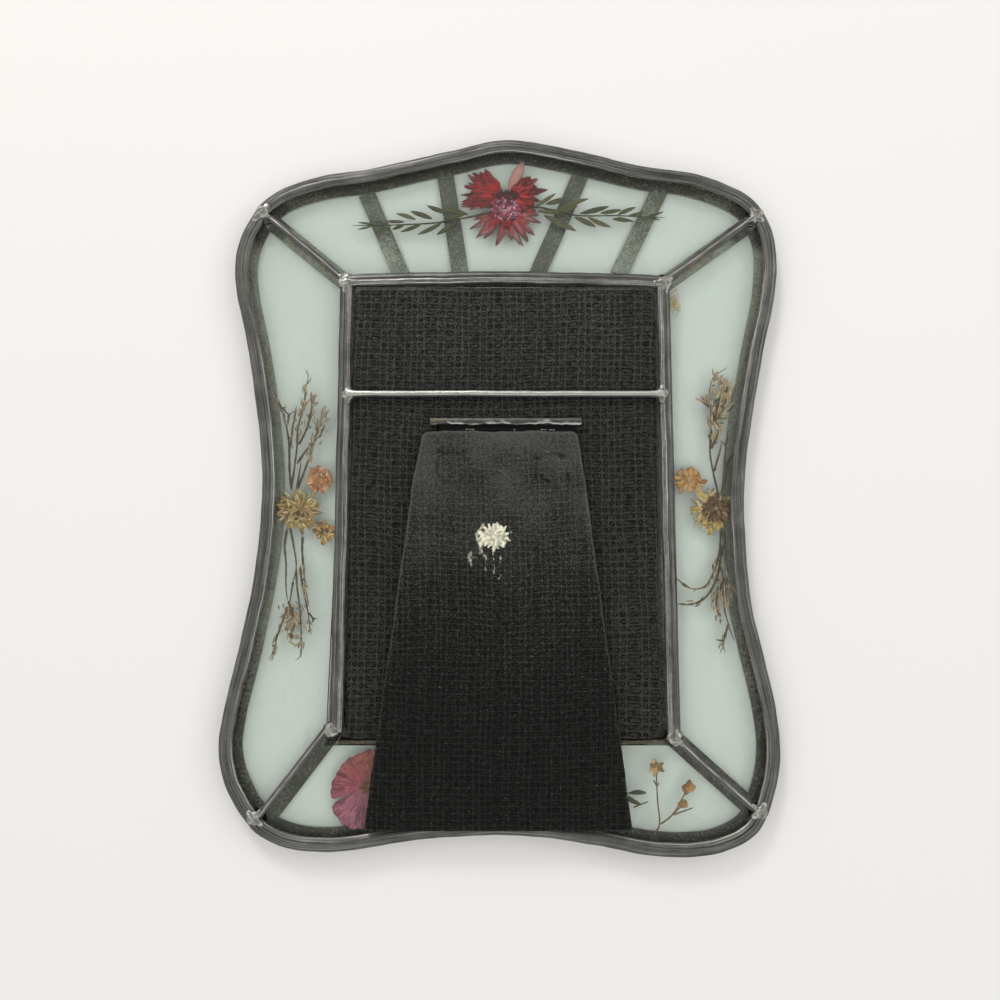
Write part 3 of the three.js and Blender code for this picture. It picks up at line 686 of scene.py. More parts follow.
# lead strips on the front of the top panel, seen through both panes
strips = [((-50.2, 105.5), (-36.4, 72.9)), ((-22, 114.6), (-15.7, 72.9)), ((27.8, 112.2), (11, 72.9)),
          ((56.2, 107.5), (39.4, 72.9))]
flatStrip = np.array([(-2.9, 0.34), (0, 0.3), (2.9, 0.34), (2.95, 0.7), (2.9, 1.12), (1.4, 1.18), (0, 1.14),
                      (-1.4, 1.19), (-2.9, 1.12), (-2.95, 0.7)])
stripSetback = 3.4  # from the rim's middle to the strip's upper end


def stripTinned(across, up, run):
    return 0.7 * mottle(run / 2.2, across / 1.3 + 7, 3) + 0 * up


for i, (start, end) in enumerate(strips):
    begin = stripSetback / hypot(end[0] - start[0], end[1] - start[1])
    start = (start[0] + (end[0] - start[0]) * begin, start[1] + (end[1] - start[1]) * begin)
    grid = came(straight(start, end), flatStrip, 90 + i, stripTinned)
    addPiece(f"leadStrip_{i + 1}", [grid], "lead_strip", [f"lead_strip_{i + 1}"], sharp=45)

for name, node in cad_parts.items():
    if "pane" in name:
        node.data.materials.clear()
        node.data.materials.append(finishes["glass"])


# boards: a slab wrapped in embossed paper, as a ring of columns over the face and back under it
def emboss(x, y, look):
    # columns and rows of shallow pits, counted by a uv that wanders a little: height = -depth times the
    # smooth edge of a pit; returns the height and the uv
    x = x + 0.45 * np.sin(y / 19 + 1) + 0.9 * (mottle(x / 7, y / 11, 1) - 0.5)
    row = (y + 0.5 * np.sin(x / 15 + 2) + 1.3 * (mottle(x / 12, y / 18, 2) - 0.5)) / look["row"]
    column = x / look["cell"] + look["seed"]
    inside = np.min([np.abs(column % columnEdges[-1] - edge) for edge in columnEdges], 0)
    inside = np.minimum(inside, 0.5 - np.abs(row % 1 - 0.5))
    return -look["depth"] * smooth(inside, 0.06, 0.24), np.stack([column, row], -1)


def gradedSteps(length, spacing):
    # places from 0 to 1 along a length, close together near both ends
    near = np.array([0, 0.03, 0.12, 0.3, 0.6]) / length
    even = np.linspace(1 / length, 1 - 1 / length, int(length / spacing))
    return near, np.r_[near, even, 1 - near[::-1]]


def wrappedSlab(look, leftEdge, rightEdge, relief):
    # columns run over the face from left to right and back below, spaced by the slab's width at y = middle;
    # a point at distance d inside the edge has half thickness (1 - (1 - d / bevel)^3)^(1/3) of the whole,
    # and relief is added away from the edge
    tall = look["top"] - look["bottom"]
    near, face = gradedSteps(rightEdge(look["middle"]) - leftEdge(look["middle"]), look["grid"])
    _, r = gradedSteps(tall, look["grid"])
    s = np.r_[face, 1 - near[1:], np.linspace(1, 0, 14)[2:-2], near[:0:-1]]
    above = np.arange(len(s)) < len(face)
    y = (look["bottom"] + tall * r)[:, None] + 0 * s[None]
    left, right = leftEdge(y), rightEdge(y)
    endY = np.minimum(y - look["bottom"], look["top"] - y) - look["corner"]
    trim = look["corner"] - np.sqrt(np.maximum(look["corner"] ** 2 - np.minimum(endY, 0) ** 2, 0))
    x = left + trim + (right - left - 2 * trim) * s[None]
    endX = np.minimum(x - left, right - x) - look["corner"]
    inside = look["corner"] - np.hypot(np.minimum(endX, 0), np.minimum(endY, 0))
    inside = np.maximum(inside + np.maximum(np.minimum(endX, endY), 0), 0)
    half = look["thick"] / 2
    edge = (1 - np.clip(1 - inside / look["bevel"], 0, 1) ** 3) ** (1 / 3)
    lift, along, masks = relief(x, y, inside)
    z = look["floor"] + half + half * edge * np.where(above, 1, -1)[None] + lift * edge * above[None]
    masks = {key: (value * above[None])[None] for key, value in masks.items()}
    return {"points": np.stack([x, y, z], -1), "along": along[None], **masks}


boardLook = {"seed": 4, "row": 2.27, "cell": 2.2, "depth": 0.08, "grid": 0.44, "floor": 3.4, "thick": 2.22,
             "corner": 3, "bevel": 0.8, "bottom": -83.8, "top": 66.2, "middle": 0}


def boardRelief(x, y, inside):
    height, along = emboss(x, y, boardLook)
    edgeWear = smooth(0.9 - inside, 0, 0.9) * mottle(x * 1.3, y * 1.3, 6)
    worn = 0.12 + 0.12 * smooth(y, 10, 60) + 0.5 * edgeWear
    return height * smooth(inside, 0.2, 1.2), along, {"pit": 0 * x, "worn": worn, "residue": 0 * x}


def boardLeft(y):
    return -51.9 + 0.002 * (y + 84)


def boardRight(y):
    return 49.8 + 0.008 * (y + 84)


boardGrid = wrappedSlab(boardLook, boardLeft, boardRight, boardRelief)
addPiece("backBoard", [boardGrid], "embossed_black", ["back_board"], sharp=45)

# easel leg: worn and dusty at the top, with two rivet marks, prong dents and a patch of dried white residue
legLook = {"seed": 9, "row": 1.95, "cell": 1.8, "depth": 0.06, "grid": 0.42, "floor": 7.52, "thick": 1.95,
           "corner": 1.5, "bevel": 0.8, "bottom": -111.2, "top": 16.2, "middle": -50}
rivets = [(-17.6, 4.0, 5.2), (15.1, 2.9, 5.5)]  # x, y, radius
dents = [(-21.9, 9.3, 1.3), (-13.7, 9.3, 1.3), (10.1, 7.3, 1.2), (18.3, 7.7, 1.4)]  # x, y, half width
cuts = [((11.2, 1.0), (14.3, -0.9)), ((20.2, 2.2), (20.9, -0.9)), ((-22.2, 9.9), (-20.4, 9.0)),
        ((17, 8.5), (19.4, 7.6))]
residue = {  # lines of it: x and y of both ends, and a radius
    "centre": (-3.8, -18.6),
    "main": [(-4.3, -18.3, -4.3, -18.4, 3.7), (-2.6, -17.0, -1.6, -19.4, 2.7),
             (-5.2, -20.6, -2.8, -21.6, 1.9), (-6.8, -16.4, -7.6, -20.4, 1.6)],
    "thin": [(-7.3, -14.8, -9.6, -18.1, 0.75), (-9.6, -18.1, -8.8, -20.8, 0.7),
             (-8.8, -20.8, -8, -23.4, 0.6), (-11.3, -23.6, -12, -25.6, 0.75),
             (-12, -25.6, -11.2, -28, 0.6), (-10.9, -25.3, -9, -25.4, 0.36),
             (-8.8, -24.5, -6.5, -25.3, 0.4), (-4.7, -22.9, -4.1, -25, 0.4),
             (-6.6, -25.9, -6.8, -29.6, 0.32), (-6.8, -29.6, -5.5, -30.2, 0.28),
             (-4.1, -25.3, -3.7, -29.1, 0.3), (-3.7, -29.1, -4, -30.9, 0.36),
             (-1.8, -24.9, -2, -27, 0.45), (-1.4, -31.1, -2.5, -32.5, 0.42),
             (-8.2, -24.4, -6.4, -24.8, 0.3), (-11.1, -31.5, -10.7, -31.7, 0.3),
             (-8.9, -31.8, -8.8, -32.2, 0.25), (-14.8, -20.4, -14.4, -20.4, 0.22),
             (1, -16.3, 2.4, -18.3, 0.18), (2.4, -18.3, 2.5, -19.4, 0.25),
             (7.3, -31.1, 7.2, -31.5, 0.22), (-5.4, -13.3, -4.4, -13.7, 0.22),
             (-1.9, -22.4, -1.2, -23.6, 0.3)],
}


def nearLine(x, y, x1, y1, x2, y2):
    # distance from a line between two places
    t = np.clip(((x - x1) * (x2 - x1) + (y - y1) * (y2 - y1)) / ((x2 - x1) ** 2 + (y2 - y1) ** 2), 0, 1)
    return np.hypot(x - x1 - t * (x2 - x1), y - y1 - t * (y2 - y1))


def legRelief(x, y, inside):
    height, along = emboss(x, y, legLook)
    top = smooth(y, -95, 14)
    height = height * (1 - 0.5 * top)
    worn = 0.02 + 0.55 * top * (0.75 + 0.3 * mottle(x / 9, y / 7, 12)) + 0.08 * smooth(y, 8, 16)
    worn = worn + 0.35 * smooth(1.1 - inside, 0, 1)
    # painted shade in the rivet grooves, prong dents and cuts
    dark = np.zeros_like(x)
    for cx, cy, radius in rivets:
        d = np.hypot(x - cx, y - cy) + 0.5 * (mottle(x / 2, y / 2, 14) - 0.5)
        height = height * (1 - 0.5 * smooth(radius - d, 0, 1)) + 0.1 * smooth(radius - d, -0.3, 1.2)
        groove = bell(d - radius, 0.45) * smooth(mottle(x / 4, y / 4, 15), 0.25, 0.7)
        height, dark = height - 0.2 * groove, np.maximum(dark, 0.4 * groove)
    for cx, cy, wide in dents:
        dent = bell(np.hypot((x - cx) / wide, (y - cy) / 0.6), 1)
        ridge = bell(np.hypot((x - cx) / wide, (y - cy + 1.3) / 0.6), 1)
        height, dark = height - 0.5 * dent + 0.2 * ridge, np.maximum(dark, 0.6 * dent)
    for start, end in cuts:
        cut = bell(nearLine(x, y, *start, *end), 0.35)
        height, dark = height - 0.35 * cut, np.maximum(dark, 0.7 * cut)
    # residue: thick and rayed round its centre, with thin dribbles beside and below
    ragged = mottle(x * 1.5, y * 1.5, 16) * 0.55 + mottle(x * 0.8, y * 0.8, 17) * 0.45
    away = x - residue["centre"][0], y - residue["centre"][1]
    turn, far = np.arctan2(away[1], away[0]), np.hypot(*away)
    rays = 0.3 * np.sin(11 * turn + 2 * np.sin(3 * turn) + 1.2 * far) + 0.2 * np.sin(17 * turn - 2 * far)
    crust = np.zeros_like(x)
    thick = 0.55 + 0.45 * smooth(rays + ragged, 0.2, 0.85)
    for kind, edge, fringe, amount in (("main", 1.6, 1.3, thick), ("thin", 0.9, 0, 0.52)):
        for *line, radius in residue[kind]:
            reach = radius + 0.36 - nearLine(x, y, *line) + edge * (ragged - 0.6) + fringe * rays
            crust = np.maximum(crust, amount * smooth(reach, 0, 0.6))
    height = height * (1 - 0.7 * crust) + crust * (0.1 + 0.2 * ragged)
    masks = {"pit": dark * (1 - crust), "worn": worn, "residue": crust}
    return height * smooth(inside, 0.2, 1.2), along, masks


def legLeft(y):
    return np.interp(y, [-111.3, 0.5, 16.3], [-44.8, -30.5, -27.5]) + 0.15 * wander(np.asarray(y), 5, 31)


def legRight(y):
    return np.interp(y, [-111.3, 6.8, 16.1], [39.7, 25.2, 23.5]) + 0.15 * wander(np.asarray(y), 6, 27)


legGrid = wrappedSlab(legLook, legLeft, legRight, legRelief)
legPoints = legGrid["points"]
legPoints[..., 1] += 0.3 * wander(legPoints[..., 0], 9, 24) * smooth(legPoints[..., 1], 13.5, 16.2)
addPiece("easelLeg", [legGrid], "embossed_black", ["easel_leg"], "leg", 45, finishes["leg_paper"])
print("board and leg wrapped")


def rod(x, y, z, angle, **masks):
    # rings round a rod that lies along the x axis, with a uv and masks of the same grid
    x, angle = np.broadcast_arrays(x, angle)
    along = np.stack([angle / 3, x / 10], -1)
    masks = {key: (value + 0 * x)[None, ::-1] for key, value in masks.items()}
    return {"points": np.stack([x, y, z], -1)[::-1], "caps": True, "along": along[None, ::-1], **masks}


# retaining wire: a round rod that flares into the joint at each end; a painted highlight runs along its
# upper side
wireLook = {"radius": 1.1, "y": 29.3, "z": 7.08, "flares": (-53.2, 52.4), "dark": (0.10, 0.1, 0.085),
            "light": (0.26, 0.257, 0.23), "bright": (0.52, 0.515, 0.475), "tin": 0.95, "metal": 0.8,
            "dull": dullLead, "drawn": (5, 0.06, 1)}
finishes["tinned_wire"] = leadFinish("tinnedWire", wireLook)
x = np.r_[np.linspace(-53.6, -49.5, 15), np.linspace(-49.2, 48.8, 160), np.linspace(49.1, 53.0, 15)][:, None]
angle = circle(28)[None]
flare = np.exp(-(x - wireLook["flares"][0]) / 1.1) + np.exp((x - wireLook["flares"][1]) / 1.1)
swell = 1 + 0.03 * wander(x, 31, 14) + 0.03 * (mottle(x / 1.3, angle * 2, 32) - 0.5)
wireY = wireLook["y"] + 0.12 * wander(x, 33, 90) + np.cos(angle) * wireLook["radius"] * (swell + 1.1 * flare)
wireZ = wireLook["z"] + np.sin(angle) * wireLook["radius"] * (swell * 0.96 - 0.1 * flare)
# painted highlight along the wire's upper side, with solder tin at the flares
shine = smooth(np.cos(angle - 1.35), 0.45, 0.98) * (0.75 + 0.4 * mottle(x / 8, x * 0, 3))
wire = rod(x, wireY, wireZ, angle, tinned=0.2 * flare + shine)
addPiece("retainingWire", [wire], "tinned_wire", ["retaining_wire"], sharp=45)

# hinge: a rolled barrel with an uneven lip along its lower edge, bright with a painted highlight, rusty at
# the left end
hingeLook = {"y": 19.75, "z": 7.2, "radius": 1.2, "flat": 1.3, "half": 25.2, "dark": (0.05, 0.048, 0.045),
             "light": (0.14, 0.137, 0.128), "bright": (0.40, 0.395, 0.37), "rust": (0.24, 0.2, 0.1)}


def hingeFinish(name, look):
    f = Finish(name)
    grain = f.noise(f.place(), 1500, 4, 0.6)
    drawn = f.noise(f.surface((10, 0.5, 1)), 5, 3)
    shine = f.step(f.attribute("tinned") + (grain - 0.5) * 0.5, 0.35, 0.75)
    rust = f.step(f.attribute("residue") + (f.noise(f.place(), 800, 4, 0.7) - 0.5) * 2.2, 0.45, 0.9)
    body = f.ramp(drawn * 0.5 + grain * 0.5, (0.35, look["dark"]), (0.7, look["light"]))
    return f.done(f.principled(
        Base_Color=f.mix(rust * 0.75, f.mix(shine, body, look["bright"]), look["rust"]),
        Metallic=0.9,
        Roughness=0.42 - shine * 0.12 + rust * 0.35,
        Normal=f.bump(drawn * 0.5 + grain * 0.4, 0.00009, 0.5)))


finishes["hinge_steel"] = hingeFinish("hingeMetal", hingeLook)
x = np.linspace(-hingeLook["half"], hingeLook["half"], 190)[:, None]
angle = circle(40)[None]
lipAngle = radians(120) + radians(25) * wander(x, 41, 16)
lip = bell(angle - lipAngle, 0.5) + 0.35 * bell(angle - 0.8, 0.16)
radius = hingeLook["radius"] * (0.93 + 0.03 * wander(x, 42, 9)) + 0.1 * lip
radius = radius - 0.12 * smooth(angle, lipAngle + 0.25, lipAngle + 0.6)
radius = radius * (0.985 + 0.05 * (mottle(x / 1.1, angle * 2, 43) - 0.5))
hingeY = hingeLook["y"] + np.cos(angle) * radius * hingeLook["flat"]
hingeZ = hingeLook["z"] + np.sin(angle) * radius
# painted highlight along the lip and towards the right end
shine = lip * (0.3 + 0.7 * mottle(x / 2.6, x * 0, 44)) + 0.2 * smooth(x, 14, 25)
rust = smooth(-x, 21, 24.5) * bell(angle - 1.4, 0.4)
barrel = rod(x, hingeY, hingeZ, angle, tinned=shine, residue=rust)
addPiece("hingeBarrel", [barrel], "hinge_steel", ["hinge_barrel"], sharp=45)
# the leaf is coloured near black as painted shadow under the barrel
leafShadowLook = {**hingeLook, "dark": (0.008, 0.008, 0.008), "light": (0.02, 0.02, 0.019)}
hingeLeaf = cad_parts["hinge_leaf"]
hingeLeaf.data.materials.clear()
hingeLeaf.data.materials.append(hingeFinish("shadowBlackSteel", leafShadowLook))

# bits of the leaf's bent edge along the leg's top, each bright with a painted glint: from, to, y
tabs = [(-13.6, -10.4, 17.0), (2.5, 3.2, 16.9), (11.5, 13.6, 16.9), (14.2, 16.4, 16.8)]
tabLook = {"z": 7.55, "thick": 0.42, "shine": 0.9}
slivers = []
for start, end, y in tabs:
    u = np.linspace(0, 1, 14)[:, None]
    angle = circle(10)[None]
    thick = tabLook["thick"] * (u * (1 - u) * 4) ** 0.4
    tabX = start + (end - start) * u + 0 * angle
    tabY = y + thick * 0.7 * np.cos(angle) + 0.1 * wander(u * 3, 5, 2)
    points = np.stack([tabX, tabY, tabLook["z"] + thick * np.sin(angle)], -1)
    slivers.append({"points": points[::-1], "tinned": tabLook["shine"]})
addPiece("hingeTabs", slivers, "hinge_steel", (), "leg", 45)
print("wire and hinge placed")


# closed petals, leaves and husks: u goes from root to tip and the angle goes round a flat section; the
# levels are heights between the panes, about 3.3 to 4
def blades(root, tip, width, level, tint, rows, columns, shape=(0.8, 0.8), bow=0.0, ripple=0.0, thick=0.06,
           edge=0.0, seed=0, rim=0.35, tipDark=0.0):
    # point = root + u (tip - root) + sideways (half width(u) cos angle + bow 4u(1-u))
    # + up (level + thick sin angle + ripple), half width(u) = width / 2 times u^a (1-u)^b over its largest
    root, tip = np.atleast_2d(np.asarray(root, float)), np.atleast_2d(np.asarray(tip, float))
    count = len(root)

    def fit(value):
        return np.broadcast_to(np.asarray(value, float), (count,))[:, None, None]

    u = (0.5 - 0.5 * np.cos(pi * np.linspace(0, 1, rows)))[None, :, None]
    angle = circle(columns)[None, None, :]
    a, b = (fit(value) for value in shape)
    best = a / (a + b)
    profile = u**a * (1 - u) ** b / (best**a * (1 - best) ** b)
    spine = (tip - root)[:, None, None, :]
    span = np.linalg.norm(spine, axis=-1, keepdims=True)
    side = np.stack([-spine[..., 1], spine[..., 0]], -1) / span
    v = np.cos(angle)
    number = np.arange(count)[:, None, None]
    fray = 1 + edge * (mottle(u * 9 + number * 3.7, np.sign(v) * 2 + number, seed) - 0.5)
    across = fit(width) / 2 * profile * v * fray + fit(bow) * 4 * u * (1 - u)
    flat = root[:, None, None, :] + spine * u[..., None] + side * across[..., None]
    up = fit(level) + thick * np.sin(angle) * (profile + 0.15) * (u > 0) * (u < 1)
    up = up + fit(ripple) * np.sin(v * 5 + u * 7 + number * 1.3) * u * (1 - u) * 2
    points = np.concatenate([flat, np.broadcast_to(up, flat.shape[:3])[..., None]], -1)
    tint = np.broadcast_to(np.asarray(tint, float), (count, 3))[:, None, None, :]
    darker = 1 - rim * (np.abs(v) ** 4) * np.ones_like(u) - 0.2 * (1 - smooth(u, 0, 0.25))
    darker = np.maximum(darker - tipDark * smooth(u, 0.72, 1), 0.12)
    grid = np.broadcast_to(v, (count, rows, columns)) + number * 3.1
    along = np.stack([grid / 4, np.broadcast_to(u, grid.shape) + number * 0.37], -1)
    return {"points": points, "tint": tint * darker[..., None], "along": along}


def twig(points, thickness, level, tint, count=None, end=0.35):
    # a round stem through the points that thins towards its tip
    points = np.array(points, float)
    path = curveThrough(points, count or max(10, int(6 * len(points))))
    u = np.linspace(0, 1, len(path))[:, None]
    angle = circle(8)[None]
    knots = 1 + 0.16 * wander(u * 60, int(abs(points[0].sum()) * 10), 9)
    radius = thickness / 2 * (1 - (1 - end) * u) * knots
    radius = radius * np.minimum(1, np.minimum(u, 1 - u) * len(path))
    flat = path[:, None, :] + leftOf(path)[:, None, :] * (radius * np.cos(angle))[..., None]
    up = level + 0.06 * wander(u * 30, 7, 11) + np.sin(angle) * np.minimum(radius, 0.3)
    grid = np.concatenate([flat, up[..., None]], -1)
    tone = (1 + 0.35 * wander(u * 50, 19, 13))[..., None] * np.ones((1, 8, 1)) * np.array(tint)
    along = np.stack(np.broadcast_arrays(angle / 5, u * 4), -1)
    return {"points": grid, "tint": tone[None], "along": along[None]}


def placesOn(points, count, rng, spreadOut):
    # random places along a line of points, with the line's direction at each
    path = curveThrough(points, 60)
    pick = rng.integers(2, 58, count)
    step = path[pick + 1] - path[pick - 1]
    return path[pick] + rng.normal(0, spreadOut, (count, 2)), step / np.linalg.norm(step, axis=1)[:, None]


def directionOf(angle):
    # unit vectors at the angles
    return np.stack([np.cos(angle), np.sin(angle)], 1)


def fan(directions, turn):
    # directions turned by an angle each
    (c, s), (x, y) = directionOf(turn).T, directions.T
    return np.stack([x * c - y * s, x * s + y * c], 1)


def husks(points, count, rng, length, width, tint, spreadOut):
    # small dry scales scattered along a stem, most of them pointing up it
    at, direction = placesOn(points, count, rng, spreadOut)
    direction = fan(direction, rng.normal(0, 0.3, count))
    reach = rng.uniform(0.6, 1.25, count)[:, None] * length
    tone = np.array(tint) * rng.uniform(0.7, 1.3, (count, 1)) * (1 + rng.normal(0, 0.06, (count, 3)))
    widths = rng.uniform(0.7, 1.3, count) * width
    levels = rng.uniform(3.35, 3.85, count)
    return blades(at, at + direction * reach, widths, levels, tone, shape=(0.6, 0.9), thick=0.14, rows=7,
                  columns=10, bow=rng.normal(0, 0.12, count), rim=0.65)


def petalRing(centre, count, rng, inner, outer, width, tint, level, shape=(0.9, 0.55), least=0.84, **more):
    # petals that start near the centre and reach out, with seeded angles, lengths and one of the tints each
    ray = directionOf(circle(count) + rng.normal(0, 0.1, count))
    reach = rng.uniform(least, 1.06, count)[:, None] * outer
    palette = np.atleast_2d(tint)
    tone = palette[rng.integers(len(palette), size=count)]
    tone = tone * rng.uniform(0.75, 1.25, (count, 1)) * (1 + rng.normal(0, 0.05, (count, 3)))
    widths = width * rng.uniform(0.8, 1.2, count)
    levels = level + rng.uniform(-0.08, 0.08, count)
    centre = np.array(centre)
    return blades(centre + ray * inner, centre + ray * reach, widths, levels, tone, shape=shape, **more)


def crumple(centre, count, rng, size, length, width, tints, level, outward=False):
    # a heap of short crinkled scraps in an ellipse, lying anyhow or pointing away from the centre
    turn, far = rng.uniform(0, tau, count), rng.uniform(0, 1, count) ** 0.6
    spot = np.array(centre) + np.stack([size[0] * far * np.cos(turn), size[1] * far * np.sin(turn)], 1)
    aim = turn + rng.normal(0, 0.6, count) if outward else rng.uniform(0, tau, count)
    reach = length * rng.uniform(0.5, 1.2, count)
    tone = np.array(tints)[rng.integers(len(tints), size=count)] * rng.uniform(0.7, 1.3, (count, 1))
    widths = width * rng.uniform(0.6, 1.3, count)
    levels = level + rng.uniform(-0.07, 0.07, count)
    return blades(spot, spot + directionOf(aim) * reach[:, None], widths, levels, tone, ripple=0.08, rows=8,
                  columns=8, edge=0.6, rim=0.75, bow=rng.normal(0, 0.25, count), tipDark=0.3)


# cornflower: two lobes of deep red petals with a notch between them, paler petals below, a dark band and a
# mottled mauve patch between, and one pale petal
rng = np.random.default_rng(7)
cornflower = {"deep": (0.17, 0.004, 0.006), "red": (0.38, 0.010, 0.010), "rose": (0.45, 0.11, 0.11),
              "dusty": (0.40, 0.18, 0.18), "pale": (0.47, 0.23, 0.20), "dark": (0.02, 0.003, 0.005),
              "plum": (0.13, 0.02, 0.045)}
mauves = [(0.48, 0.17, 0.27), (0.28, 0.05, 0.13), (0.66, 0.38, 0.45), (0.07, 0.01, 0.025),
          (0.38, 0.03, 0.05), (0.5, 0.2, 0.26)]
lobes = {
    "left": ((-1.9, 100.9), [
        (-13.4, 108.6), (-11.9, 109.3), (-9.2, 109.4), (-7.3, 110.7), (-14.6, 103.9), (-16, 101),
        (-13.6, 99.9), (-15.8, 96.6), (-12.3, 102.2), (-15.4, 98.6), (-11, 107), (-12.6, 95.6), (-9, 96),
        (-5.6, 106.0)]),
    "right": ((2.2, 100.7), [
        (6.6, 107.0), (9, 107.6), (11.3, 107.1), (11.2, 104.3), (14.4, 102.6), (12.6, 98.6), (10.6, 96.2),
        (9.3, 105.6), (7.4, 105), (12.2, 101.4), (10.8, 94.4), (4.6, 104.6)]),
    "below": ((0.4, 95.0), [
        (-10.6, 84.9), (-7.8, 85.0), (-3.5, 82.3), (-0.9, 86.1), (4.9, 82.6), (7.8, 83.3), (10.1, 86.0),
        (12.6, 90.8), (2.2, 84.6), (-12.6, 88.4), (-11.2, 92.0), (11.8, 93.4), (-9.6, 90.2), (-6.2, 88.6),
        (7.2, 88.6), (1.2, 88.6)]),
}
# layers from the bottom up: how far the tips reach, how far they stray, and their tone
upperLayers = ((1.0, 0.1, "rose"), (0.95, 0.5, "red"), (0.88, 0.7, "deep"), (0.78, 0.9, "red"),
               (0.66, 1.0, "deep"), (0.5, 1.1, "red"))
lowerLayers = ((1.0, 0.1, "rose"), (0.96, 0.5, "dusty"), (0.8, 0.9, "rose"), (0.55, 1.2, "red"))
flower = []
for lobe, (start, tips) in lobes.items():
    start, tips = np.array(start), np.array(tips)
    for layer, (fraction, jitter, tone) in enumerate(lowerLayers if lobe == "below" else upperLayers):
        ends = start + (tips - start) * fraction + rng.normal(0, jitter, tips.shape)
        count = len(ends)
        starts = start + (ends - start) * rng.uniform(0.02, 0.22, (count, 1))
        starts = starts + rng.normal(0, 0.45, ends.shape)
        color = np.array(cornflower[tone]) * rng.uniform(0.6, 1.4, (count, 1))
        widths = rng.uniform(1.5, 2.6, count)
        levels = 3.4 + 0.07 * layer + rng.uniform(-0.03, 0.03, count)
        flower.append(blades(starts, ends, widths, levels, color, shape=(0.85, 0.8), ripple=0.06, thick=0.04,
                             bow=rng.normal(0, 0.35, count), rows=9, columns=8, edge=0.3, seed=layer,
                             rim=0.85, tipDark=0.75 if layer < 2 else 0.4))
flower.append(blades([(0.9, 102.2)], [(6.4, 113.3)], 3.5, 3.74, cornflower["pale"], shape=(0.8, 0.7),
                     thick=0.04, ripple=0.05, rows=18, columns=20, edge=0.15, rim=0.6, tipDark=0.5))
flower.append(blades([(-4.9, 95.8), (-4.8, 100.6)], [(5.3, 95.6), (5.0, 100.9)], [8.6, 3.0], [3.72, 3.78],
                     [cornflower["plum"], cornflower["dark"]], shape=(0.35, 0.35), thick=0.04, rows=24,
                     columns=24, edge=0.3))
darks = [cornflower["dark"], cornflower["deep"]]
flower.append(crumple((0, 100.8), 60, rng, (4.4, 1.0), 1.8, 0.7, darks, 3.84))
flower.append(crumple((0.2, 95.4), 190, rng, (5.0, 4.1), 1.6, 0.8, mauves, 3.86))
addPiece("cornflower", flower, "crimson_petal", ["cornflower"])

# leaf sprigs: a stem with a slender leaf for each listed root and tip
olive, oliveDark, ribTone = (0.105, 0.098, 0.045), (0.055, 0.05, 0.026), (0.16, 0.145, 0.07)


def leafSprig(name, stemPoints, roots, tips, width, seed):
    rng = np.random.default_rng(seed)
    count = len(roots)
    roots, tips = np.array(roots, float), np.array(tips, float)
    tone = np.array(olive) * rng.uniform(0.6, 1.3, (count, 1))
    widths = np.broadcast_to(width, count) * rng.uniform(0.9, 1.1, count)
    levels = rng.uniform(3.5, 3.72, count)
    parts = [twig(stemPoints, 0.75, 3.6, oliveDark, 60),
             blades(roots, tips, widths, levels, tone, shape=(0.75, 0.8), bow=rng.normal(0, 0.22, count),
                    ripple=0.05, thick=0.07, rows=18, columns=14, edge=0.12, seed=seed)]
    for root, tip in zip(roots, tips):
        parts.append(twig([root, root * 0.35 + tip * 0.65, tip], 0.28, 3.8, ribTone, 12))
    addPiece(f"leafSprig_{name}", parts, "dried_leaf", [f"leaf_sprig_{name}"])


leafSprig("left", [(-4.2, 94.6), (-8.9, 93.6), (-22.2, 91), (-36.8, 90), (-53.3, 89.7)],
          [(-20, 94.2), (-25.4, 92.1), (-31.1, 91.8), (-35.1, 91.1), (-16.9, 90.8), (-22.1, 90.8),
           (-29, 90.5), (-35.1, 90.2), (-39.8, 89.7), (-41, 90), (-13, 93.6), (-14, 94), (-46, 89.7),
           (-45, 89.9)],
          [(-27.5, 97.1), (-33.2, 94.9), (-38.2, 94.1), (-41.8, 91.3), (-24, 86.3), (-30.7, 86.4),
           (-36.6, 87.4), (-39.4, 88.3), (-45.7, 87.4), (-46.2, 91.4), (-21.6, 95.8), (-21.2, 92.4),
           (-51.6, 88.3), (-51.4, 90.9)],
          [1.7, 1.7, 1.5, 1.2, 1.8, 1.7, 1.6, 1.3, 1.3, 0.9, 1.8, 1.9, 0.8, 0.8], 3)
leafSprig("right", [(5.8, 94.9), (10.3, 96.4), (24.2, 93.5), (39.9, 93.3), (55.5, 92.5)],
          [(10.3, 96.5), (13.9, 97.5), (18, 95.2), (25.8, 94), (32.9, 94.2), (39, 93.7), (42.6, 93.2),
           (48.7, 93), (13.2, 93.5), (23.8, 92.8), (28.7, 92.8), (37.1, 92.1), (39.2, 92.8), (11, 95),
           (16, 94.4), (47, 92.9)],
          [(17.6, 101.5), (21.6, 99.7), (29.1, 99.6), (36.2, 96.7), (40.5, 95.5), (45.4, 96.4), (48.1, 94.8),
           (55.2, 94.8), (24.7, 87.6), (31.5, 89.1), (36.7, 89.2), (42.5, 91), (44.8, 91.1), (21, 94.6),
           (25.4, 96.9), (54, 91.6)],
          [1.3, 1.8, 2.0, 1.8, 1.5, 1.4, 1.2, 1.0, 2.3, 1.9, 1.7, 1.3, 1.1, 2.0, 1.8, 0.9], 4)
leafSprig("small", [(-20, -103), (0, -101.6), (22, -101), (45.2, -100.9)],
          [(-16, -102.8), (-8, -102), (2, -101.6), (12, -101.3), (22, -101.1), (31, -101), (-14, -103),
           (-4, -102), (6, -101.6), (16, -101.3), (27, -101.1), (39.6, -100.9), (37, -101.2)],
          [(-10, -98.4), (-1, -98), (9, -97.7), (19, -98), (29, -98.3), (37, -99), (-7, -106.4), (3, -106),
           (13, -105.6), (23, -105), (33, -104.3), (45.2, -100.9), (43.6, -104.6)], 1.5, 5)

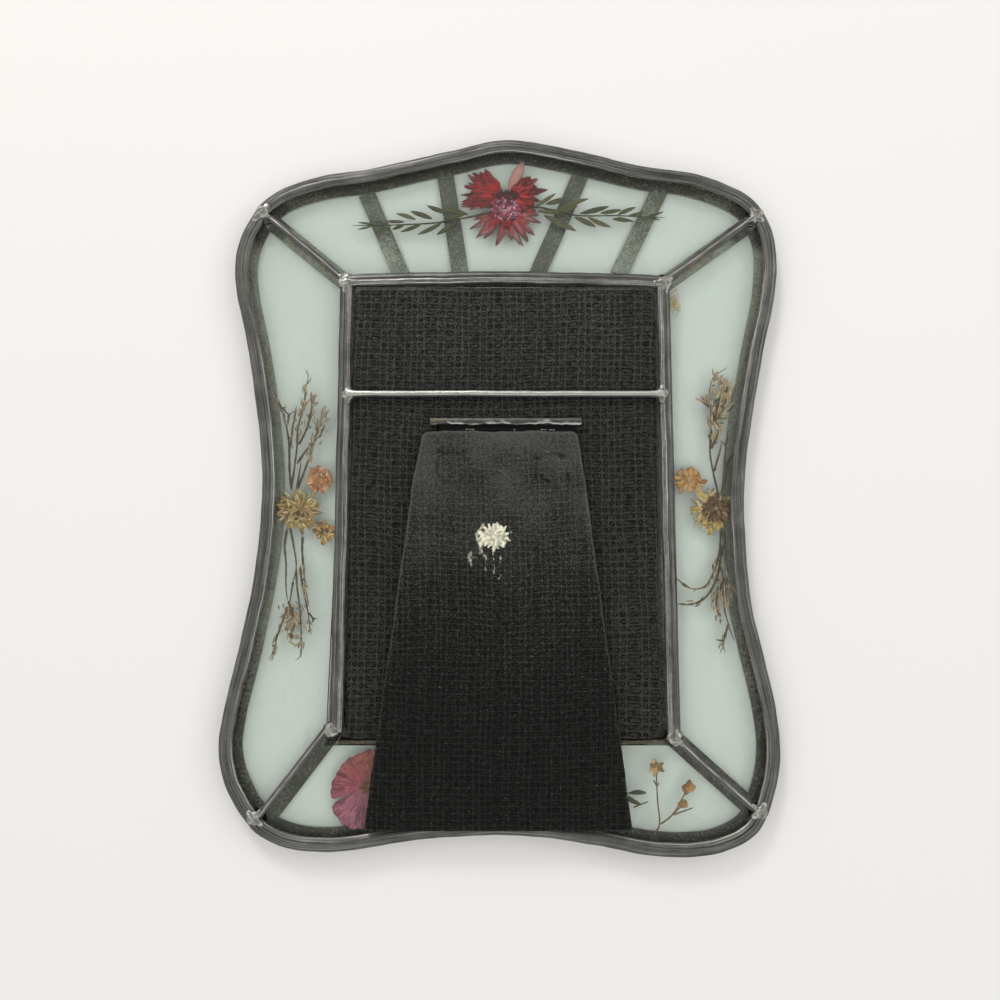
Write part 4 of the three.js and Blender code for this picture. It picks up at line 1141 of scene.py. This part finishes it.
# dried sprays at the sides: thin branching stems with small scales near their tips
bark, straw = (0.085, 0.06, 0.034), (0.48, 0.37, 0.235)
sprays = {
    "left_upper": {"stems": [
        [(-71.7, -3.3), (-72.6, 3.6), (-73, 11.5), (-73.8, 17.2), (-75.8, 24.2), (-76.7, 26.8),
         (-78.8, 30.8)],
        [(-75.8, 25.5), (-73.4, 22.9), (-71.4, 24.2)], [(-73.4, 22.9), (-73.7, 18.9)],
        [(-71.8, -2), (-71.1, 3.6), (-70.3, 12.3), (-70.2, 17.2), (-68.3, 28.2), (-68, 31.7), (-67.2, 36.2),
         (-68.2, 38.4)],
        [(-72.6, 11.5), (-71.8, 19.8), (-70.8, 24.6)],
        [(-69.8, 12.3), (-67.2, 18), (-66, 23.3), (-65.7, 27.3), (-66, 30.6)],
        [(-70.3, 5.8), (-67.8, 9.7), (-64.9, 13.7), (-62.5, 20.7), (-60.9, 26)],
        [(-70, -2.8), (-67.6, 3.6), (-65.7, 10.2), (-64.9, 13.7), (-62.4, 16.3), (-61.2, 19.8)],
        [(-70, -2.4), (-68.8, 6.7)]],
        "scales": [(3, 16, 0.5), (5, 16, 0.5), (6, 20, 0.8), (7, 14, 0.7), (0, 8, 0.3), (4, 5, 0.3)]},
    "left_lower": {"stems": [
        [(-72.9, -16), (-73.5, -21.4), (-72.9, -27.9), (-72.7, -35.1), (-72, -39.7)],
        [(-72, -15.3), (-70.4, -22.2), (-69.5, -28.6), (-70.4, -33.7)],
        [(-67.6, -18.2), (-67.7, -22.5), (-67, -29.4), (-66, -36.9), (-65, -41.1)],
        [(-69.5, -28.6), (-69, -35.1), (-68.1, -40.8), (-67.3, -49.3), (-67.4, -57.7), (-69, -59.1)],
        [(-68.3, -27.9), (-67.2, -35.1), (-65.5, -42.2), (-64.2, -50.3)],
        [(-72, -42.2), (-73.6, -46.8), (-75.3, -52.1), (-76.3, -57.7)],
        [(-72.4, -41.5), (-69.3, -46.8), (-71, -51), (-69.2, -51)],
        [(-65, -43.6), (-63.3, -45.4), (-62.2, -45.4)],
        [(-63.3, -45.4), (-63.6, -46.8)], [(-71.9, -39.5), (-70.2, -44.6), (-72.3, -47.2)],
        [(-70.3, -33), (-71.6, -42.6)]],
        "scales": [(3, 10, 0.5), (5, 10, 0.4), (6, 16, 1.1), (4, 6, 0.4), (9, 12, 1.0), (2, 5, 0.3)]},
    "right_upper": {"stems": [
        [(71.4, -5.4), (69.7, 2.8), (68.8, 9.3), (69.4, 21.5), (69.3, 28.6), (70.4, 35.3), (75.8, 39.3)],
        [(69, 25.1), (66.7, 27.7)], [(69.1, 11), (71.6, 16.7), (71.3, 21.1), (75.2, 21.5)],
        [(74.8, 23.7), (77.7, 26)],
        [(69.9, 3.2), (72.8, 13.2), (72.6, 14.1)],
        [(72.2, -5), (73.8, 3.2), (73.7, 7.5), (74, 11.9), (72.8, 13.7)],
        [(74, 11.9), (74.8, 15.4), (74.8, 17.2)],
        [(74, 4.5), (75.2, 7.5), (77, 9.7)], [(70.2, 20), (72, 26.5), (74.2, 35)],
        [(71.4, 21), (74, 26), (75.6, 32.6)]],
        "scales": [(0, 16, 0.6), (8, 30, 0.9), (9, 24, 0.8), (2, 12, 0.7), (1, 4, 0.2)]},
    "right_lower": {"stems": [
        [(71.8, -14.9), (70.8, -24.1), (67.9, -32.1), (65.5, -35.1), (62.1, -35.8), (58.7, -34.3),
         (56.3, -32.1)],
        [(72, -21), (70.2, -30.9), (67.7, -36.2), (65.4, -38.9), (61.2, -40.7), (56.4, -40.7)],
        [(71.7, -31.3), (71.8, -41.5), (73.1, -47.1), (74.8, -52.7)], [(73.1, -47.1), (70.8, -54.9)],
        [(71.4, -52.7), (68.8, -52.3)], [(72.6, -16), (73.6, -31.3)],
        [(71.9, -33), (69.4, -40), (70.2, -45)],
        [(70.6, -26), (72.6, -36), (72.4, -42)]],
        "scales": [(6, 22, 1.0), (7, 16, 0.9), (1, 10, 0.6), (0, 6, 0.4), (3, 5, 0.4)]},
}
for seed, (name, spray) in enumerate(sprays.items()):
    rng = np.random.default_rng(100 + seed)
    parts = []
    for points in spray["stems"]:
        thickness, level = rng.uniform(0.7, 1.0), rng.uniform(3.45, 3.75)
        parts.append(twig(points, thickness, level, np.array(bark) * rng.uniform(0.75, 1.3)))
    for which, count, spreadOut in spray["scales"]:
        path = curveThrough(spray["stems"][which], 30)
        upper = path[10:] if len(spray["stems"][which]) > 4 else path
        big = 1.15 if name == "right_upper" else 1.0
        parts.append(husks(upper[::4], int(count * 1.6), rng, 2.7 * big, 0.62 * big, straw, spreadOut))
        parts.append(husks(upper[::4], count // 2, rng, 1.7, 0.5, bark, spreadOut))
    addPiece(f"spray_{name}", parts, "dried_stem", [f"spray_{name}"])

# flowers at the sides: ragged and papery, in mixed golds with dark outlines; each is a ring of petals under
# heaps of scraps
rng = np.random.default_rng(12)
gold, brown, amber = (0.54, 0.38, 0.13), (0.08, 0.035, 0.014), (0.64, 0.33, 0.08)
golds = [gold, (0.68, 0.56, 0.31), (0.28, 0.17, 0.06), (0.50, 0.36, 0.13)]
ambers = [amber, (0.50, 0.24, 0.05), (0.70, 0.48, 0.20), (0.24, 0.11, 0.03)]
blossoms = [(0.74, 0.38, 0.19), (0.80, 0.52, 0.32), (0.60, 0.25, 0.11)]
shells = [(0.62, 0.37, 0.15), (0.70, 0.47, 0.23), (0.46, 0.23, 0.07)]
blossomTones = [*blossoms, (0.66, 0.42, 0.20), (0.26, 0.10, 0.04), (0.40, 0.16, 0.07)]
ragged = {"ripple": 0.1, "rows": 13, "columns": 12, "edge": 0.5, "rim": 0.7, "tipDark": 0.35, "least": 0.6}
crinkled = {"ripple": 0.12, "rows": 18, "columns": 20, "edge": 0.3, "rim": 0.6, "tipDark": 0.3}


def sideFlower(name, node, slot, ring, style, *heaps):
    # ring and heaps are what petalRing and crumple take
    surfaces = [petalRing(*ring, **style)]
    for heap in heaps:
        surfaces.append(crumple(*heap))
    addPiece(name, surfaces, slot, [node])


sideFlower("yellowFlower_left", "yellow_flower_left", "yellow_petal",
           ((-69.0, -10.4), 21, rng, 1.2, 7.6, 1.6, golds, 3.46, (0.7, 0.7)), ragged,
           ((-69.5, -9.6), 90, rng, (5.2, 5.4), 3.2, 1.0, golds, 3.6, True),
           ((-68.6, -9.4), 110, rng, (4.4, 4.6), 2.2, 0.8, [*golds, (0.55, 0.42, 0.24)], 3.74, True),
           ((-68.6, -11.0), 60, rng, (2.4, 2.2), 1.4, 0.6, [brown, golds[2], golds[3]], 3.86))
sideFlower("blossom_left", "blossom_left", "peach_petal",
           ((-62.8, 0.7), 6, rng, 0.2, 4.4, 3.6, blossoms, 3.48, (0.7, 0.25)), crinkled,
           ((-62.7, 0.6), 60, rng, (3.0, 3.1), 2.2, 1.1, blossomTones, 3.64, True),
           ((-62.7, 0.5), 50, rng, (2.8, 2.9), 1.5, 0.6, blossomTones, 3.8))
sideFlower("smallFlower_left", "small_flower_left", "yellow_petal",
           ((-60.4, -17.2), 11, rng, 0.4, 4.0, 1.6, ambers, 3.5, (0.8, 0.5)), ragged,
           ((-60.3, -17.2), 60, rng, (2.7, 2.7), 1.9, 0.8, [*ambers, golds[1]], 3.66, True),
           ((-60.8, -16.6), 22, rng, (1.1, 1.1), 1.0, 0.5, [brown, ambers[3]], 3.82))
sideFlower("daisy_right", "daisy_right", "yellow_petal",
           ((69.4, -9.4), 21, rng, 1.4, 7.8, 1.5, golds, 3.46, (0.7, 0.65)), ragged,
           ((67.8, -9.4), 70, rng, (4.6, 5.0), 3.2, 0.9, golds[:2], 3.58, True),
           ((68.8, -14.8), 45, rng, (2.2, 1.8), 1.9, 0.8, [(0.60, 0.40, 0.07), gold, golds[3]], 3.7, True),
           ((70.6, -9.2), 150, rng, (4.0, 3.6), 1.9, 0.7, [brown, golds[2], brown, (0.15, 0.08, 0.03)], 3.82,
            True))
sideFlower("petal_right", "petal_right", "peach_petal",
           ((61.4, 0.4), 5, rng, 0.2, 4.5, 3.8, shells, 3.48, (0.8, 0.3)), crinkled,
           ((61.7, 0.3), 40, rng, (3.2, 2.7), 3.2, 1.3, shells, 3.64, True),
           ((63.6, -0.8), 24, rng, (1.6, 1.6), 1.6, 0.5, [*shells, (0.26, 0.13, 0.04)], 3.8))

# pink flower, half hidden under the leg: one ruffled disc, split at the left and browner above; its edge is
# a list of (degrees, radius) about the hub, and its colours are listed by degrees too
pinkFlower = {
    "hub": (-45.1, -99.0), "level": 3.62, "thick": 0.06, "ruffle": 0.1,
    "edge": [(0, 11.5), (50, 11.6), (81, 11.7), (94, 10.7), (107, 10.1), (120, 10.3), (132, 10.2), (147, 10),
             (161, 10.2), (175, 10.7), (189, 11), (197, 11.3), (200.5, 10.6), (203.5, 5.4), (206.5, 10.6),
             (210, 12.2), (216, 12.6), (227, 12.7), (238, 13.2), (248, 13.6), (264, 12.9), (300, 12),
             (360, 11.5)],
    "colors": [(0, 0.36, 0.12, 0.07), (95, 0.37, 0.11, 0.075), (140, 0.43, 0.10, 0.11),
               (200, 0.46, 0.12, 0.16), (215, 0.47, 0.16, 0.22), (270, 0.44, 0.17, 0.22),
               (360, 0.40, 0.13, 0.07)],
    "folds": [(-57.2, -93.3, -51.5, -95.7), (-60.2, -100.0, -52.0, -99.4), (-63.2, -106.8, -50.6, -102.2)]}
half = 46  # rows from the middle to the edge of the disc's face, and as many back under it
angle = circle(260)[None]
rho = np.r_[np.linspace(0, 1, half), np.linspace(1, 0, half)[1:]][:, None] ** 0.8
face = np.where(np.arange(len(rho)) < half, 1, -1)[:, None] * (1 - rho**6)
degrees, radii = np.array(pinkFlower["edge"]).T
scallop = 1 + 0.025 * np.abs(np.sin(angle * 11)) + 0.02 * mottle(angle * 25, angle * 0, 3)
radius = np.interp(np.degrees(angle), degrees, radii) * scallop
x = pinkFlower["hub"][0] + radius * rho * np.cos(angle)
y = pinkFlower["hub"][1] + radius * rho * np.sin(angle)
wave = np.sin(angle * 17 + 4 * rho) * rho**1.5 * np.sin(pi * rho) ** 0.3
z = pinkFlower["level"] + pinkFlower["ruffle"] * wave + pinkFlower["thick"] * face
degrees, *channels = np.array(pinkFlower["colors"]).T
tint = np.stack([np.interp(np.degrees(angle), degrees, channel) for channel in channels], -1)
veins = smooth(mottle(angle * 30 + np.sin(rho * 5) * 0.8, rho * 1.6, 3), 0.45, 0.85) * smooth(rho, 0.1, 0.5)
shade = 1.05 - 0.45 * veins - 0.35 * smooth(rho, 0.95, 1)
shade = shade - 0.2 * mottle(x / 1.6, y / 1.6, 8) - 0.2 * mottle(x * 2, y * 2, 9)
for line in pinkFlower["folds"]:
    shade = shade - 0.45 * bell(nearLine(x, y, *line), 0.4)
tint = tint * np.maximum(shade, 0.15)[..., None]
along = np.stack(np.broadcast_arrays(angle * 0.5, rho * 1.5), -1)
disc = {"points": np.stack([x, y, z], -1)[::-1], "tint": tint[None, ::-1], "along": along[None, ::-1]}
rng = np.random.default_rng(14)
heart = petalRing(pinkFlower["hub"], 16, rng, 0.1, 2.2, 0.8, (0.2, 0.1, 0.04), 3.85, thick=0.1, rows=7,
                  columns=8)
addPiece("pinkFlower", [disc, heart], "pink_petal", ["pink_flower"])

# a sprig of tiny white flowers gone brown
rng = np.random.default_rng(15)
stalks = [
    [(47.1, -114.2), (49, -110.8), (48.6, -103), (48.4, -93.5)],
    [(47.5, -96.9), (48.6, -98.6), (49.3, -97.7)],
    [(49, -110.8), (53.1, -107.8), (58.4, -99.6)], [(53.1, -107.8), (56.7, -104.5)],
    [(53.1, -107.8), (60.2, -105.4)], [(40.7, -105.4), (45.8, -103.5)]]
heads = [((48.3, -93.0), 2.9, (0.56, 0.35, 0.16)), ((58.6, -99.3), 2.5, (0.54, 0.28, 0.09)),
         ((56.8, -104.3), 1.9, (0.54, 0.30, 0.11))]
sprig = [twig(points, 0.55, 3.6, (0.17, 0.11, 0.06), end=0.7) for points in stalks]
for at, radius, tone in heads:
    tones = [tone, np.array(tone) * 0.5, np.array(tone) * 1.4]
    above = at[0] + 0.2, at[1] + 0.3
    sprig.append(petalRing(at, 10, rng, 0.3, radius, 1.4, tones, 3.56, (0.7, 0.6), **ragged))
    sprig.append(petalRing(above, 8, rng, 0.1, radius * 0.7, 0.9, tones[:2], 3.72, (0.7, 0.6), **ragged))
addPiece("whiteFlowerSprig", sprig, "yellow_petal", ["gypsophila_sprig"])
print("flowers pressed")

# floor and light
floorLook = {"color": (0.78, 0.765, 0.745), "shade": (0.66, 0.645, 0.62), "size": 3.0}
f = Finish("paleFloor")
grain = f.noise(f.place(), 900, 3)
floorColor = f.mix(f.noise(f.place(), 6, 2) * 0.12 + grain * 0.03, floorLook["color"], floorLook["shade"])
floorFinish = f.done(f.principled(Base_Color=floorColor, Roughness=0.85))
half = floorLook["size"] / 2
mesh = bpy.data.meshes.new("floor")
corners = [(-half, -half, 0), (half, -half, 0), (half, half, 0), (-half, half, 0)]
mesh.from_pydata(corners, [], [(0, 1, 2, 3)])
mesh.materials.append(floorFinish)
floor = bpy.data.objects.new("floor", mesh)
scene.collection.objects.link(floor)

studio = {"around": (1.0, 1.0, 0.985), "horizon": (0.2, 0.2, 0.2), "overhead": (0.17, 0.17, 0.17),
          "strength": 1.45, "shade": (0.0, 0.127, 0.992), "shadeEdges": (27, 37),
          "lamps": [("window", (-0.30, 0.86, 0.62), 0.22, 3.4, (1.0, 0.985, 0.96)),
                    ("side", (0.86, 0.25, 0.55), 0.25, 0.9, (0.95, 0.98, 1.0))]}
world = bpy.data.worlds.new("studio")
scene.world = world
f = Finish("sky", world)
# a bright ring of sky round a dark card over the frame, which keeps the glass free of glare
direction = f.node("TexCoord", output="Generated")
height = f.node("SeparateXYZ", {}, {"Vector": direction}, 2)
overhead = f.node("VectorMath", {"operation": "DOT_PRODUCT"}, {0: direction, 1: studio["shade"]}, 1)
inner, outer = (cos(radians(angle)) for angle in studio["shadeEdges"])
sky = f.mix(f.step(height, 0.15, 0.55), studio["horizon"], studio["around"])
sky = f.mix(f.step(overhead, outer, inner), sky, studio["overhead"])
f.done(f.node("Background", {}, {"Color": sky, "Strength": studio["strength"]}), "OutputWorld")
for name, at, size, power, color in studio["lamps"]:
    lamp = bpy.data.objects.new(name, bpy.data.lights.new(name, "AREA"))
    lamp.data.shape, lamp.data.size, lamp.data.energy, lamp.data.color = "DISK", size, power, color
    lamp.location = at
    lamp.rotation_euler = Vector(at).to_track_quat("Z", "Y").to_euler()
    scene.collection.objects.link(lamp)
scene.view_settings.view_transform = "Standard"
scene.cycles.blur_glossy = 0  # or clear glass swallows the light on what lies under it
print("floor and light set")
